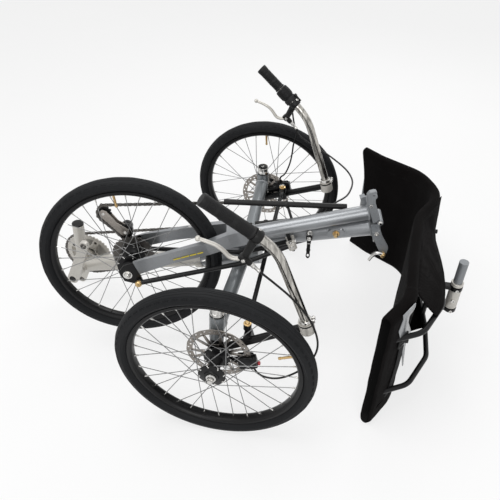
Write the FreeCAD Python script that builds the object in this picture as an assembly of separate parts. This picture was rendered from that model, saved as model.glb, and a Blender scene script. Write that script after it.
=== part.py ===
"""Folding recumbent trike, two wheels in front and one behind, stored folded with its seat taken off.

Millimetres, +Z up.  -X is the front, +X the rear, +Y the rider's right, where the chain runs.
The frame is drawn as it is ridden, with the front axle above X = 0 and the ground at Z = 0.
The rear part is then folded up and over its hinge, and the whole tips forward onto the right crank.
The seat lies on its side behind the hinge.
"""
import FreeCAD, Part
import math
import os

os.makedirs("parts", exist_ok=True)

V = FreeCAD.Vector
X_AXIS = V(1, 0, 0)
Y_AXIS = V(0, 1, 0)
Z_AXIS = V(0, 0, 1)
LEFT, RIGHT = -1, 1
SIDES = {"left": LEFT, "right": RIGHT}

# ---- driving sizes -------------------------------------------------------------------------
TRACK = 796.0               # between the middles of the front wheels
TYRE_RADIUS = 243.0         # 20 inch wheels
TYRE_WIDTH = 45.0
RIM_INNER_RADIUS = 198.0
RIM_OUTER_RADIUS = 211.0
RIM_WIDTH = 28.0
SPOKE_COUNT = 32
SPOKE_RADIUS = 1.0
SPOKE_OFFSET = 1.2          # from the middle of a flange
FLANGE_RADIUS = 33.0
FLANGE_THICKNESS = 3.2
SEAT_GAP = 0.3              # between pieces that only rest against each other
RUNNING_GAP = 0.05          # round a shaft in its bore

MAIN_TUBE_RADIUS = 25.4
MAIN_TUBE_WALL = 2.4
MAIN_TUBE_FRONT = -25.0
MAIN_TUBE_FRONT_Z = 317.0
HINGE_X = 366.0             # rear end of the main tube
HINGE_TUBE_Z = 334.0        # axis of the main tube there
SOCKET_FRONT = -150.0
SOCKET_REAR = 46.0
SOCKET_Z = 259.0
SOCKET_RADIUS = 27.0
WEB_THICKNESS = 20.0
BOOM_CLEARANCE = 0.3
BOOM_INSERTION = 90.0

CRANK_X = -533.0            # bottom bracket
CRANK_RISE = 6.0            # bottom bracket above the boom's axis
SHELL_RADIUS = 20.0
SHELL_WIDTH = 68.0
POST_LENGTH = 155.0         # front changer's post
POST_RADIUS = 17.0
POST_STEP = 60.0            # from the axle to where the clamping stretch begins
POST_LEAN = 17.3            # degrees back from upright
CRANK_LENGTH = 150.0
CRANK_END_RADIUS = 13.0
CRANK_BOSS_RADIUS = 16.5
CRANK_THICKNESS = 13.0
CRANK_ANGLE = 52.8          # left arm above level, pointing back
CRANK_LEFT_Y = 74.0         # middle of the left arm from the centre plane
CRANK_RIGHT_Y = 68.0
PEDAL_THREAD_RADIUS = 7.15
SPINDLE_RADIUS = 11.0
RING_RADIUS = 74.0          # chainring at the root of its teeth
RING_Y = 46.0
RING_THICKNESS = 4.0
CHAIN_THICKNESS = 8.0       # outer height of the chain
CHAIN_WIDTH = 7.0
CHAIN_GAP = 0.8             # round a cog, and at a chain tube's mouth

KINGPIN_Y = 335.0           # kingpin axis from the centre plane, at the height KINGPIN_Z
KINGPIN_X = -4.0
KINGPIN_Z = 264.0           # height of the point that the kingpin is measured from
CASTER = 14.0               # degrees the kingpins lean back
INCLINATION = 7.0           # degrees the kingpins lean in
HEAD_RADIUS = 18.5
HEAD_BOTTOM = 14.0          # along the kingpin from that point
HEAD_LENGTH = 66.0
COLLAR_LENGTH = 24.0
COLLAR_RADIUS = 17.0
PIN_RADIUS = 8.0
KNUCKLE_RADIUS = 17.0
KNUCKLE_BOTTOM = -36.0      # along the kingpin
KNUCKLE_FACE_Y = 352.4      # side of a knuckle beside the hub
CROSS_RADIUS = 19.0
AXLE_RADIUS = 7.5
AXLE_END_Y = 440.0
HUB_RADIUS = 19.0
HUB_HALF_WIDTH = 33.0
FRONT_FLANGE_OFFSET = 26.0
ROTOR_RADIUS = 80.0
ROTOR_THICKNESS = 2.2
ROTOR_Y = 356.0

ARM_REAR_X = 216.0          # clamp that holds the handlebar
ARM_REAR_Y = 309.0
ARM_REAR_Z = 280.0
ARM_ROOT = -28.0            # along the kingpin
ARM_RADIUS = 10.0
BAR_RADIUS = 11.1
BAR_BEND = 150.0
# handlebar above its clamp: x, distance out from the centre plane, z
BAR_POINTS = [(190, 316, 517), (76, 345, 670)]
GRIP_RADIUS = 14.5
GRIP_LENGTH = 128.0
TIE_X = 72.0
TIE_Y = 306.0
TIE_Z = 281.0
TIE_RADIUS = 6.0
ROD_END_RADIUS = 10.0
ROD_END_HEIGHT = 16.0
ROD_END_CASTER = 12.56       # degrees the rod ends lean back
ROD_END_INCLINATION = 6.92  # degrees the left one leans in
ROD_END_DROP = 12.0         # from the middle of a rod end to the ear below it

PIVOT_X = 386.0             # hinge pin, where it crosses the centre plane
PIVOT_Z = 359.0
HINGE_YAW = 6.4             # degrees the hinge pin is turned from square
HINGE_ROLL = 0.8
FOLD_ANGLE = 188.6
REAR_AXLE_X = 1041.0
REAR_TUBE_RADIUS = 19.5
YOKE_X = 729.0
YOKE_Z = 279.0
DROPOUT_Y = 68.0
DROPOUT_THICKNESS = 6.0
REAR_AXLE_RADIUS = 5.0
STAY_RADIUS = 6.5           # thin seat stays
STAY_END_X = 1022.0
STAY_END_Z = 271.0
REAR_FLANGE_LEFT = -34.0
REAR_FLANGE_RIGHT = 18.0

PERCH_WIDTH = 18.0
SHIFTER_LENGTH = 50.0
SHIFTER_RADIUS = 19.0
ROTOR_SLOT = 1.8            # half the slot of a caliper
CALIPER_Z = {LEFT: 210.5, RIGHT: 262.0}
CABLE_RADIUS = 2.5
# lever blade from its pivot to its tip: x, y, z on the right
LEVER_BLADE = [(123, 337, 515), (96, 338, 511), (82, 340, 548), (62, 342, 566), (40, 343, 578)]
# brake cables from lever to caliper: x, distance out from the centre plane, z
BRAKE_CABLES = {
    LEFT: [(149, 336, 475), (170, 334, 444), (206, 332, 390), (234, 332, 326), (244, 336, 262),
           (232, 342, 216), (190, 346, 166), (130, 349, 136), (88, 350, 146), (74, 350, 172),
           (74, 350, 187.5)],
    RIGHT: [(149, 336, 475), (131, 330, 430), (123, 328, 400), (109, 328, 362), (84, 334, 320),
            (60, 350, 304), (60, 350, 285.2)]}
# gear cable on the right handlebar and on the front frame
BAR_CABLE = [(146, 350, 574), (140, 352, 520), (142, 345, 458), (172, 339, 426), (208, 330, 402),
             (240, 312, 384)]
FRAME_CABLE = [(284, 280, 356), (303, 250, 343), (311, 205, 343), (302, 150, 344),
               (289, 110, 354), (274, 66, 374), (252, 50, 366), (236, 45, 350)]
SEAT_BOLT_RADIUS = 5.0
STRAP_X = 204.0
STRAP_Y = -42.0
STRAP_Z = 336.0
STRAP_DROP = 53.0
STRAP_THICKNESS = 4.0
HOOK_Y = -18.0              # middle of the hook that the latch pulls on
LATCH_Y = -41.0
LATCH_THICKNESS = 12.0
PLATE_HALF_WIDTH = 27.0
PLATE_THICKNESS = 20.0
PLATE_BOTTOM = 300.0
BARREL_RADIUS = 8.0
HINGE_PIN_RADIUS = 4.0
BARREL_SPLIT = 10.0         # the rear barrel's half length
AXLE_SHOULDER = 62.0

CHAIN_Y = 40.0              # chain line of the rear cogs
CHAIN_COG_RADIUS = 37.0
CHAIN_TUBE_RADIUS = 7.5
CHAIN_TUBE_BORE = 6.0
CHAIN_TUBE_BEND = 400.0
CHAIN_MOUTH = 3.0           # from the end of a stretch of chain to its tube
PULLEY_RADIUS = 18.0
GUIDE_PULLEY = (1032, 176)
TENSION_PULLEY = (1058, 104)
# chain tubes on the front frame and on the rear frame as ridden: x, y, z
FRONT_CHAIN_TUBES = [[(40, 46, 333), (180, 46, 336), (352, 40, 342)],
                     [(-130, 46, 225), (0, 46, 235), (130, 45, 258), (352, 40, 316)]]
REAR_CHAIN_TUBES = [[(452, 38, 339), (714, 40, 317)], [(456, 28, 315), (752, 40, 190)]]

SEAT_WIDTH = 392.0
SEAT_RAIL_RADIUS = 11.0
SEAT_BEND = 110.0
SEAT_CROSS_RADIUS = 8.0
SLING_THICKNESS = 4.0
SLING_MARGIN = 2.0          # between the sling's edge and the outside of a rail
BOW_RADIUS = 7.0
BOW_HEIGHTS = [96.0, 296.0]
# bow behind the backrest between two cross tubes, on the floor plan
BOW_PROFILE = [(535, 208), (525, 110), (535, -30), (531, -145), (477, -250)]
BOW_BEND = 60.0
SEAT_POST_X = 599.0
SEAT_POST_Y = 18.0
SEAT_POST_RADIUS = 12.7
SEAT_POST_INNER = 12.2      # in the arms
SEAT_POST_SPAN = (128.0, 310.0)
SEAT_POST_STEP = 226.0
SEAT_ARM_HEIGHTS = [138.0, 218.0]
# seat rail on the floor plan, from the front edge of the seat to the top of the backrest
SEAT_PROFILE = [(317, 460), (371, 410), (489, 332), (537, 222), (471, 104), (449, -60),
                (433, -232), (379, -316)]
# straight stretches of a rail that a cross tube joins: stretch, share of its length
SEAT_CROSSES = [(0, 0.3), (2, 0.45), (4, 0.5), (6, 0.75)]


# ---- shapes --------------------------------------------------------------------------------
def rod(start, end, radius):
    """A cylinder from start to end."""
    axis = end - start
    return Part.makeCylinder(radius, axis.Length, start, axis)


def sleeve(start, end, outer, inner):
    """A hollow cylinder from start to end."""
    return rod(start, end, outer).cut(rod(start, end, inner))


def block(low, high):
    """A box between two corners."""
    size = high - low
    return Part.makeBox(size.x, size.y, size.z, low)


def union(shapes):
    """One shape of several that meet."""
    whole = shapes[0]
    for shape in shapes[1:]:
        whole = whole.fuse(shape)
    return whole.removeSplitter()


def fused(shapes):
    """One shape of several that meet, with the seams kept."""
    whole = shapes[0]
    for shape in shapes[1:]:
        whole = whole.fuse(shape)
    return whole


def toward(start, end, distance):
    """The point at a distance from start on the way to end."""
    step = end - start
    return start + step * (distance / step.Length)


def bent_wire(points, bend):
    """Straight runs joined by tangent arcs of one radius, smaller where a run is short."""
    edges = []
    here = points[0]
    for before, corner, after in zip(points, points[1:], points[2:]):
        arriving = (corner - before).normalize()
        leaving = (after - corner).normalize()
        turn = arriving.getAngle(leaving)
        reach = min(bend * math.tan(turn / 2),
                    0.48 * (corner - before).Length, 0.48 * (after - corner).Length)
        start = corner - arriving * reach
        end = corner + leaving * reach
        radius = reach / math.tan(turn / 2)
        middle = corner + (leaving - arriving).normalize() * (radius / math.cos(turn / 2) - radius)
        edges.append(Part.LineSegment(here, start).toShape())
        edges.append(Part.Arc(start, middle, end).toShape())
        here = end
    edges.append(Part.LineSegment(here, points[-1]).toShape())
    return Part.Wire(edges)


def bent_rod(points, radius, bend):
    """A round bar swept along a bent wire."""
    path = bent_wire(points, bend)
    circle = Part.Wire(Part.Circle(points[0], points[1] - points[0], radius).toShape())
    return path.makePipeShell([circle], True, False)


def plate(outline, thickness, middle_y):
    """A flat plate in an XZ plane from (x, z) corners."""
    low = middle_y - thickness / 2
    corners = [V(x, low, z) for x, z in outline]
    return Part.Face(Part.makePolygon(corners + corners[:1])).extrude(V(0, thickness, 0))


def ring_profile(points, centre, axis):
    """A solid of revolution about an axis along Y from (radius, offset) corners."""
    corners = [centre + V(radius, offset, 0) for radius, offset in points]
    face = Part.Face(Part.makePolygon(corners + corners[:1]))
    return face.revolve(centre, axis, 360)


def box_loft(sections):
    """A straight-sided loft through upright rectangles: x, y, z, width, height."""
    wires = []
    for x, y, z, width, height in sections:
        corners = [V(x, y - width / 2, z - height / 2), V(x, y + width / 2, z - height / 2),
                   V(x, y + width / 2, z + height / 2), V(x, y - width / 2, z + height / 2)]
        wires.append(Part.makePolygon(corners + corners[:1]))
    return Part.makeLoft(wires, True, True)


# ---- where the parts end up ----------------------------------------------------------------
def hinge_axis():
    """Direction of the hinge pin on the ridden trike."""
    yaw, roll = math.radians(HINGE_YAW), math.radians(HINGE_ROLL)
    return V(-math.sin(yaw) * math.cos(roll), math.cos(yaw) * math.cos(roll), -math.sin(roll))


def crank_end(side):
    """Middle of a crank's free end, (x, z) on the ridden trike."""
    angle = math.radians(CRANK_ANGLE) + (math.pi if side == RIGHT else 0)
    return (CRANK_X + CRANK_LENGTH * math.cos(angle),
            SOCKET_Z + CRANK_RISE + CRANK_LENGTH * math.sin(angle))


def rest_pitch():
    """Degrees that the frame tips forward about the front axle until the right crank meets the floor."""
    x, z = crank_end(RIGHT)
    ahead, below = -x, TYRE_RADIUS - z
    reach = math.hypot(ahead, below)
    drop = TYRE_RADIUS - CRANK_END_RADIUS
    return math.degrees(math.asin(drop / reach) - math.atan2(below, ahead))


AXLE_CENTRE = V(0, 0, TYRE_RADIUS)
PIVOT = V(PIVOT_X, 0, PIVOT_Z)


def tipped(shape):
    """A piece of the front frame as it stands."""
    copy = shape.copy()
    copy.rotate(AXLE_CENTRE, Y_AXIS, -rest_pitch())
    return copy


def folded(shape):
    """A piece of the rear frame as it lies folded."""
    copy = shape.copy()
    copy.rotate(PIVOT, hinge_axis(), -FOLD_ANGLE)
    return tipped(copy)


# ---- front frame ---------------------------------------------------------------------------
def main_tube_z(x):
    """Height of the main tube's axis."""
    share = (x - MAIN_TUBE_FRONT) / (HINGE_X - MAIN_TUBE_FRONT)
    return MAIN_TUBE_FRONT_Z + share * (HINGE_TUBE_Z - MAIN_TUBE_FRONT_Z)


def make_main_tube():
    """Main tube, closed in front."""
    front = V(MAIN_TUBE_FRONT, 0, MAIN_TUBE_FRONT_Z)
    rear = V(HINGE_X, 0, HINGE_TUBE_Z)
    tube = rod(front, rear, MAIN_TUBE_RADIUS)
    bore = rod(front + V(8, 0, 0), rear, MAIN_TUBE_RADIUS - MAIN_TUBE_WALL)
    return tube.cut(bore).cut(block(rear - V(0, 40, 60), rear + V(20, 40, 60)))


def make_boom_socket():
    """Socket that the boom slides into, with the web that joins it to the main tube."""
    socket = rod(V(SOCKET_FRONT, 0, SOCKET_Z), V(SOCKET_REAR, 0, SOCKET_Z), SOCKET_RADIUS)
    web = plate([(MAIN_TUBE_FRONT - 60, SOCKET_Z), (MAIN_TUBE_FRONT, MAIN_TUBE_FRONT_Z),
                 (SOCKET_REAR, MAIN_TUBE_FRONT_Z), (SOCKET_REAR, SOCKET_Z)], WEB_THICKNESS, 0)
    boom_bore = rod(V(SOCKET_FRONT, 0, SOCKET_Z), V(SOCKET_FRONT + BOOM_INSERTION + 5, 0, SOCKET_Z),
                    boom_radius() + BOOM_CLEARANCE)
    tube = rod(V(MAIN_TUBE_FRONT, 0, MAIN_TUBE_FRONT_Z), V(HINGE_X, 0, HINGE_TUBE_Z),
               MAIN_TUBE_RADIUS + RUNNING_GAP)
    return union([socket, web]).cut(boom_bore).cut(tube)


def boom_radius():
    """Outer radius of the boom, a sliding fit in its socket."""
    return SOCKET_RADIUS - MAIN_TUBE_WALL - BOOM_CLEARANCE


def make_boom():
    """Boom with the bottom bracket shell and the front changer's post."""
    centre = V(CRANK_X, 0, SOCKET_Z + CRANK_RISE)
    tube = rod(V(CRANK_X + 8, 0, SOCKET_Z), V(SOCKET_FRONT + BOOM_INSERTION, 0, SOCKET_Z),
               boom_radius())
    shell = rod(centre - V(0, SHELL_WIDTH / 2, 0), centre + V(0, SHELL_WIDTH / 2, 0), SHELL_RADIUS)
    lean = math.radians(POST_LEAN)
    upward = V(math.sin(lean), 0, math.cos(lean))
    step = centre + upward * POST_STEP
    foot = rod(centre, step, POST_RADIUS - 0.4)
    post = foot.fuse(rod(step, centre + upward * POST_LENGTH, POST_RADIUS))
    bore = rod(centre - V(0, SHELL_WIDTH, 0), centre + V(0, SHELL_WIDTH, 0),
               SPINDLE_RADIUS + RUNNING_GAP)
    return union([tube, shell, post]).cut(bore)


def make_crank(side):
    """Crank arm with its boss and pedal thread; the left one carries the spindle."""
    y = CRANK_LEFT_Y if side == LEFT else CRANK_RIGHT_Y
    half = V(0, CRANK_THICKNESS / 2, 0)
    boss = V(CRANK_X, side * y, SOCKET_Z + CRANK_RISE)
    end_x, end_z = crank_end(side)
    end = V(end_x, side * y, end_z)
    across = (end - boss).normalize().cross(Y_AXIS)
    corners = [boss + across * CRANK_BOSS_RADIUS, end + across * CRANK_END_RADIUS,
               end - across * CRANK_END_RADIUS, boss - across * CRANK_BOSS_RADIUS]
    corners = [corner - half for corner in corners]
    arm = Part.Face(Part.makePolygon(corners + corners[:1])).extrude(half * 2)
    pieces = [arm, rod(boss - half, boss + half, CRANK_BOSS_RADIUS),
              rod(end - half, end + half, CRANK_END_RADIUS)]
    inward = V(0, -side, 0)
    if side == LEFT:
        pieces.append(rod(boss, boss + inward * (y + CRANK_RIGHT_Y - CRANK_THICKNESS / 2),
                          SPINDLE_RADIUS))
        pieces.append(rod(boss, boss + inward * (y - SHELL_WIDTH / 2 - SEAT_GAP), CRANK_BOSS_RADIUS))
    crank = union(pieces)
    return crank.cut(rod(end - half * 2, end + half * 2, PEDAL_THREAD_RADIUS))


def make_chainring():
    """Chainring with four arms on a boss that meets the right crank."""
    centre = V(CRANK_X, RING_Y, SOCKET_Z + CRANK_RISE)
    half = V(0, RING_THICKNESS / 2, 0)
    ring = sleeve(centre - half, centre + half, RING_RADIUS, RING_RADIUS - 17)
    boss_end = V(CRANK_X, CRANK_RIGHT_Y - CRANK_THICKNESS / 2, centre.z)
    boss = rod(centre - half, boss_end, 24)
    arms = []
    for turn in range(4):
        arm = block(centre + V(-9, -RING_THICKNESS / 2, 10),
                    centre + V(9, RING_THICKNESS / 2, RING_RADIUS - 10))
        arm.rotate(centre, Y_AXIS, 45 + 90 * turn)
        arms.append(arm)
    bore = rod(centre - V(0, 60, 0), centre + V(0, 60, 0), SPINDLE_RADIUS + RUNNING_GAP)
    return union([ring, boss] + arms).cut(bore)


# ---- steering ------------------------------------------------------------------------------
def kingpin_direction(side):
    """Upward direction of a kingpin."""
    lean_back = math.tan(math.radians(CASTER))
    lean_in = math.tan(math.radians(INCLINATION))
    return V(lean_back, -side * lean_in, 1).normalize()


def kingpin_point(side, along):
    """A point on a kingpin's axis, measured up from the height KINGPIN_Z."""
    return V(KINGPIN_X, side * KINGPIN_Y, KINGPIN_Z) + kingpin_direction(side) * along


def make_cross_member():
    """Tube across the front with the two head tubes."""
    middle = V(0, 0, SOCKET_Z + 4)
    pieces = []
    for side in SIDES.values():
        head = kingpin_point(side, HEAD_BOTTOM + HEAD_LENGTH * 0.45)
        pieces.append(rod(middle, head, CROSS_RADIUS))
        pieces.append(rod(kingpin_point(side, HEAD_BOTTOM),
                          kingpin_point(side, HEAD_BOTTOM + HEAD_LENGTH), HEAD_RADIUS))
    pieces.append(rod(middle - V(0, 2, 0), middle + V(0, 2, 0), CROSS_RADIUS))
    whole = union(pieces)
    for side in SIDES.values():
        whole = whole.cut(rod(kingpin_point(side, 0), kingpin_point(side, 2 * HEAD_LENGTH),
                              PIN_RADIUS + RUNNING_GAP))
    socket = rod(V(SOCKET_FRONT, 0, SOCKET_Z), V(SOCKET_REAR, 0, SOCKET_Z),
                 SOCKET_RADIUS + RUNNING_GAP)
    return whole.cut(socket)


def make_knuckle(side):
    """Steering knuckle: block under the head tube, kingpin and stub axle."""
    low = kingpin_point(side, KNUCKLE_BOTTOM)
    top = kingpin_point(side, HEAD_BOTTOM - SEAT_GAP)
    body = rod(low, top, KNUCKLE_RADIUS)
    pin = rod(low, kingpin_point(side, HEAD_BOTTOM + HEAD_LENGTH + COLLAR_LENGTH - 4), PIN_RADIUS)
    shoulder = rod(V(0, side * 331, TYRE_RADIUS), V(0, side * 350, TYRE_RADIUS), 14)
    axle = rod(V(0, side * 331, TYRE_RADIUS), V(0, side * AXLE_END_Y, TYRE_RADIUS), AXLE_RADIUS)
    wheel_side = rod(V(0, side * KNUCKLE_FACE_Y, TYRE_RADIUS), V(0, side * 400, TYRE_RADIUS), 80)
    return union([union([body, pin, shoulder]).cut(wheel_side), axle])


def make_collar(side):
    """Polished collar and cap on top of a kingpin."""
    start = HEAD_BOTTOM + HEAD_LENGTH + SEAT_GAP
    collar = rod(kingpin_point(side, start), kingpin_point(side, start + COLLAR_LENGTH),
                 COLLAR_RADIUS)
    pin = rod(kingpin_point(side, 0),
              kingpin_point(side, HEAD_BOTTOM + HEAD_LENGTH + COLLAR_LENGTH - 4),
              PIN_RADIUS + RUNNING_GAP)
    return collar.cut(pin)


def arm_end(side):
    """Rear end of a steering arm, where its handlebar is clamped."""
    return V(ARM_REAR_X, side * ARM_REAR_Y, ARM_REAR_Z)


def make_steering_arm(side):
    """Steering arm with the tie rod's ear and the handlebar clamp."""
    start = kingpin_point(side, ARM_ROOT)
    end = arm_end(side)
    arm = rod(toward(start, end, 10), end, ARM_RADIUS)
    clamp = rod(end - V(0, 0, 15), end + V(0, 0, 15), BAR_RADIUS + 7)
    on_arm = toward(start, end, TIE_X - KINGPIN_X)
    ear = block(V(TIE_X - 9, min(on_arm.y, side * TIE_Y) - 4, on_arm.z - 5),
                V(TIE_X + 9, max(on_arm.y, side * TIE_Y) + 4, TIE_Z - ROD_END_DROP))
    bar_hole = rod(end - V(0, 0, 40), end + V(0, 0, 40), BAR_RADIUS + SEAT_GAP)
    return union([arm, clamp, ear]).cut(bar_hole).cut(make_knuckle(side))


def bar_points(side):
    """The handlebar's route, upright through its clamp."""
    low = arm_end(side) - V(0, 0, 18)
    return [low, low + V(0, 0, 40)] + [V(x, side * y, z) for x, y, z in BAR_POINTS]


def make_handlebar(side):
    """Bent handlebar tube."""
    return bent_rod(bar_points(side), BAR_RADIUS, BAR_BEND)


def make_grip(side):
    """Ribbed rubber grip over the end of a handlebar."""
    points = bar_points(side)
    end = points[-1]
    length = GRIP_LENGTH if side == LEFT else GRIP_LENGTH - SHIFTER_LENGTH - SEAT_GAP
    inner = toward(end, points[-2], length)
    cap = toward(end, points[-2], -4)
    return rod(inner, cap, GRIP_RADIUS).cut(rod(inner, end, BAR_RADIUS + SEAT_GAP))


def make_tie_rod():
    """Tie rod with a rod end over each steering arm's ear."""
    ends = {side: V(TIE_X, side * TIE_Y, TIE_Z) for side in SIDES.values()}
    upward = V(math.tan(math.radians(ROD_END_CASTER)), math.tan(math.radians(ROD_END_INCLINATION)), 1)
    half = upward.normalize() * (ROD_END_HEIGHT / 2)
    rod_ends = [rod(ends[side] - half, ends[side] + half, ROD_END_RADIUS) for side in ends]
    return fused([rod(ends[LEFT], ends[RIGHT], TIE_RADIUS)] + rod_ends)


# ---- wheels --------------------------------------------------------------------------------
def make_tyre(centre):
    """Tyre with a hollow for the rim."""
    low = RIM_OUTER_RADIUS + SEAT_GAP
    half = TYRE_WIDTH / 2
    middle = TYRE_RADIUS - half
    bead = RIM_WIDTH / 2 - 2
    crown = Part.Arc(V(middle, half, 0), V(TYRE_RADIUS, 0, 0), V(middle, -half, 0)).toShape()
    sides = Part.makePolygon([V(middle, -half, 0), V(low, -bead, 0), V(low, bead, 0), V(middle, half, 0)])
    face = Part.Face(Part.Wire([crown] + sides.Edges))
    face.translate(centre)
    return face.revolve(centre, Y_AXIS, 360)


def make_rim(centre):
    """Double wall rim."""
    half = RIM_WIDTH / 2
    neck = half - 5
    points = [(RIM_INNER_RADIUS, -neck), (RIM_INNER_RADIUS + 6, -half), (RIM_OUTER_RADIUS, -half),
              (RIM_OUTER_RADIUS, half), (RIM_INNER_RADIUS + 6, half), (RIM_INNER_RADIUS, neck)]
    return ring_profile(points, centre, Y_AXIS)


def make_spokes(centre, flanges):
    """Spokes laced three cross from two flanges to the middle of the rim."""
    per_flange = SPOKE_COUNT // 2
    step = 360.0 / per_flange
    lead = 3 * step
    hub_radius = FLANGE_RADIUS + SPOKE_RADIUS + SEAT_GAP
    spokes = []
    for index, flange in enumerate(flanges):
        for hole in range(per_flange):
            hub_angle = math.radians(hole * step + index * step / 2)
            way = 1 if hole % 2 else -1
            rim_angle = hub_angle - way * math.radians(lead)
            offset = flange + way * SPOKE_OFFSET
            start = centre + V(hub_radius * math.cos(hub_angle), offset,
                               hub_radius * math.sin(hub_angle))
            end = centre + V(RIM_INNER_RADIUS * math.cos(rim_angle), 0,
                             RIM_INNER_RADIUS * math.sin(rim_angle))
            spokes.append(rod(start, toward(end, start, SEAT_GAP), SPOKE_RADIUS))
    return Part.makeCompound(spokes)


def make_hub(centre, flanges, low, high, bore):
    """Hub shell with two flanges, between two distances from the wheel's middle."""
    pieces = [rod(centre + V(0, low, 0), centre + V(0, high, 0), HUB_RADIUS)]
    for flange in flanges:
        half = V(0, FLANGE_THICKNESS / 2, 0)
        middle = centre + V(0, flange, 0)
        pieces.append(rod(middle - half, middle + half, FLANGE_RADIUS))
    return union(pieces).cut(rod(centre + V(0, low - 5, 0), centre + V(0, high + 5, 0), bore))


def make_rotor(centre):
    """Brake disc with a band and six arms to the hub."""
    half = V(0, ROTOR_THICKNESS / 2, 0)
    band = sleeve(centre - half, centre + half, ROTOR_RADIUS, ROTOR_RADIUS - 15)
    middle = rod(centre - half, centre + half, 26)
    arms = []
    for turn in range(6):
        arm = block(centre + V(-4, -ROTOR_THICKNESS / 2, 20),
                    centre + V(4, ROTOR_THICKNESS / 2, ROTOR_RADIUS - 12))
        arm.rotate(centre, Y_AXIS, 60 * turn)
        arms.append(arm)
    return union([band, middle] + arms).cut(rod(centre - half * 4, centre + half * 4, HUB_RADIUS + SEAT_GAP))

# ---- hinge ---------------------------------------------------------------------------------
def barrel(start, end, radius):
    """A cylinder on the hinge pin's axis between two distances from the centre plane."""
    return rod(PIVOT + hinge_axis() * start, PIVOT + hinge_axis() * end, radius)


def make_hinge_front():
    """Front half of the hinge: thick end plate, two barrels with the pin, and the latch's lug."""
    face = block(V(HINGE_X, -PLATE_HALF_WIDTH, PLATE_BOTTOM),
                 V(PIVOT_X - SEAT_GAP / 2, PLATE_HALF_WIDTH, PIVOT_Z - 3))
    outer = PLATE_HALF_WIDTH + 1
    pieces = [face, barrel(-outer, -BARREL_SPLIT - SEAT_GAP, BARREL_RADIUS),
              barrel(BARREL_SPLIT + SEAT_GAP, outer, BARREL_RADIUS)]
    lug = block(V(HINGE_X, LATCH_Y + LATCH_THICKNESS / 2 + SEAT_GAP, 325),
                V(PIVOT_X - SEAT_GAP / 2, -PLATE_HALF_WIDTH, 349))
    whole = union(pieces + [lug])
    whole = whole.cut(barrel(-BARREL_SPLIT - SEAT_GAP, BARREL_SPLIT + SEAT_GAP, BARREL_RADIUS + 1.5))
    return whole.fuse(barrel(-outer - 3, outer + 3, HINGE_PIN_RADIUS)).removeSplitter()


def make_hinge_latch():
    """Latch arm beside the front plate with its clamping lever."""
    arm = plate([(367, 347), (388, 347), (392, 325), (404, 290), (399, 276), (383, 276),
                 (379, 290), (370, 325)], LATCH_THICKNESS, LATCH_Y)
    cross = rod(V(390, LATCH_Y - 16, 278), V(390, LATCH_Y + 11, 278), 4)
    lever = bent_rod([V(390, LATCH_Y - 13, 276), V(374, LATCH_Y - 15, 285),
                      V(358, LATCH_Y - 12, 268)], 3.5, 8)
    return union([arm, cross, lever])


def make_hinge_rear():
    """Rear half of the hinge: thick end plate, middle barrel, side lug and the latch's hook."""
    rear_x = PIVOT_X + PLATE_THICKNESS
    face = block(V(PIVOT_X + SEAT_GAP / 2, -PLATE_HALF_WIDTH, PLATE_BOTTOM),
                 V(rear_x, PLATE_HALF_WIDTH, PIVOT_Z - 5))
    outer = PLATE_HALF_WIDTH + 1
    for side in (-1, 1):
        ends = sorted([side * (BARREL_SPLIT - 0.2), side * (outer + 4)])
        face = face.cut(barrel(ends[0], ends[1], BARREL_RADIUS + 1.5))
    middle = barrel(-BARREL_SPLIT, BARREL_SPLIT, BARREL_RADIUS)
    hook = plate([(386.15, 312), (406, 312), (407, 300), (400, 272), (392, 266), (380, 267),
                  (376, 270), (377, 274), (388, 275), (388, 279), (377, 280), (378, 285),
                  (384, 290), (387, 302)], 14, HOOK_Y)
    lug = block(V(rear_x - 2, 8, PLATE_BOTTOM - 8), V(rear_x + 11, 26, 330))
    tube = rod(V(PIVOT_X, 0, rear_tube_z(PIVOT_X)), V(YOKE_X, 0, YOKE_Z),
               REAR_TUBE_RADIUS + RUNNING_GAP)
    tube = tube.cut(block(V(PIVOT_X - 60, -60, 200), V(rear_x, 60, 500)))
    whole = union([face, middle, hook, lug]).cut(tube)
    return whole.cut(barrel(-outer, outer, HINGE_PIN_RADIUS + RUNNING_GAP))


# ---- rear frame ----------------------------------------------------------------------------
STAY_SECTIONS = [(766, 30, 264, 18, 40), (824, 45, 256, 16, 36), (924, 57, 241, 13, 33),
                 (999, 65, 234, 8, 39), (1012, 66, 234, 7, 40)]     # x, y, z, width, height


def make_rear_tube():
    """Rear tube with the yoke that carries the stays."""
    start = V(PIVOT_X + PLATE_THICKNESS, 0, HINGE_TUBE_Z)
    tube = rod(start, V(YOKE_X, 0, YOKE_Z), REAR_TUBE_RADIUS)
    front = block(V(PIVOT_X, -40, 250), start + V(0, 40, 80))
    yoke = box_loft([(YOKE_X - 14, 0, YOKE_Z + 1, 38, 42), (YOKE_X + 12, 0, YOKE_Z - 7, 62, 42),
                     (STAY_SECTIONS[0][0] - RUNNING_GAP, 0, STAY_SECTIONS[0][2], 78, 40)])
    return union([tube.cut(front), yoke])


def make_chainstays():
    """The two tapered stays."""
    stays = []
    for side in SIDES.values():
        stays.append(box_loft([(x, side * y, z, width, height)
                               for x, y, z, width, height in STAY_SECTIONS]))
    return Part.makeCompound(stays)


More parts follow.
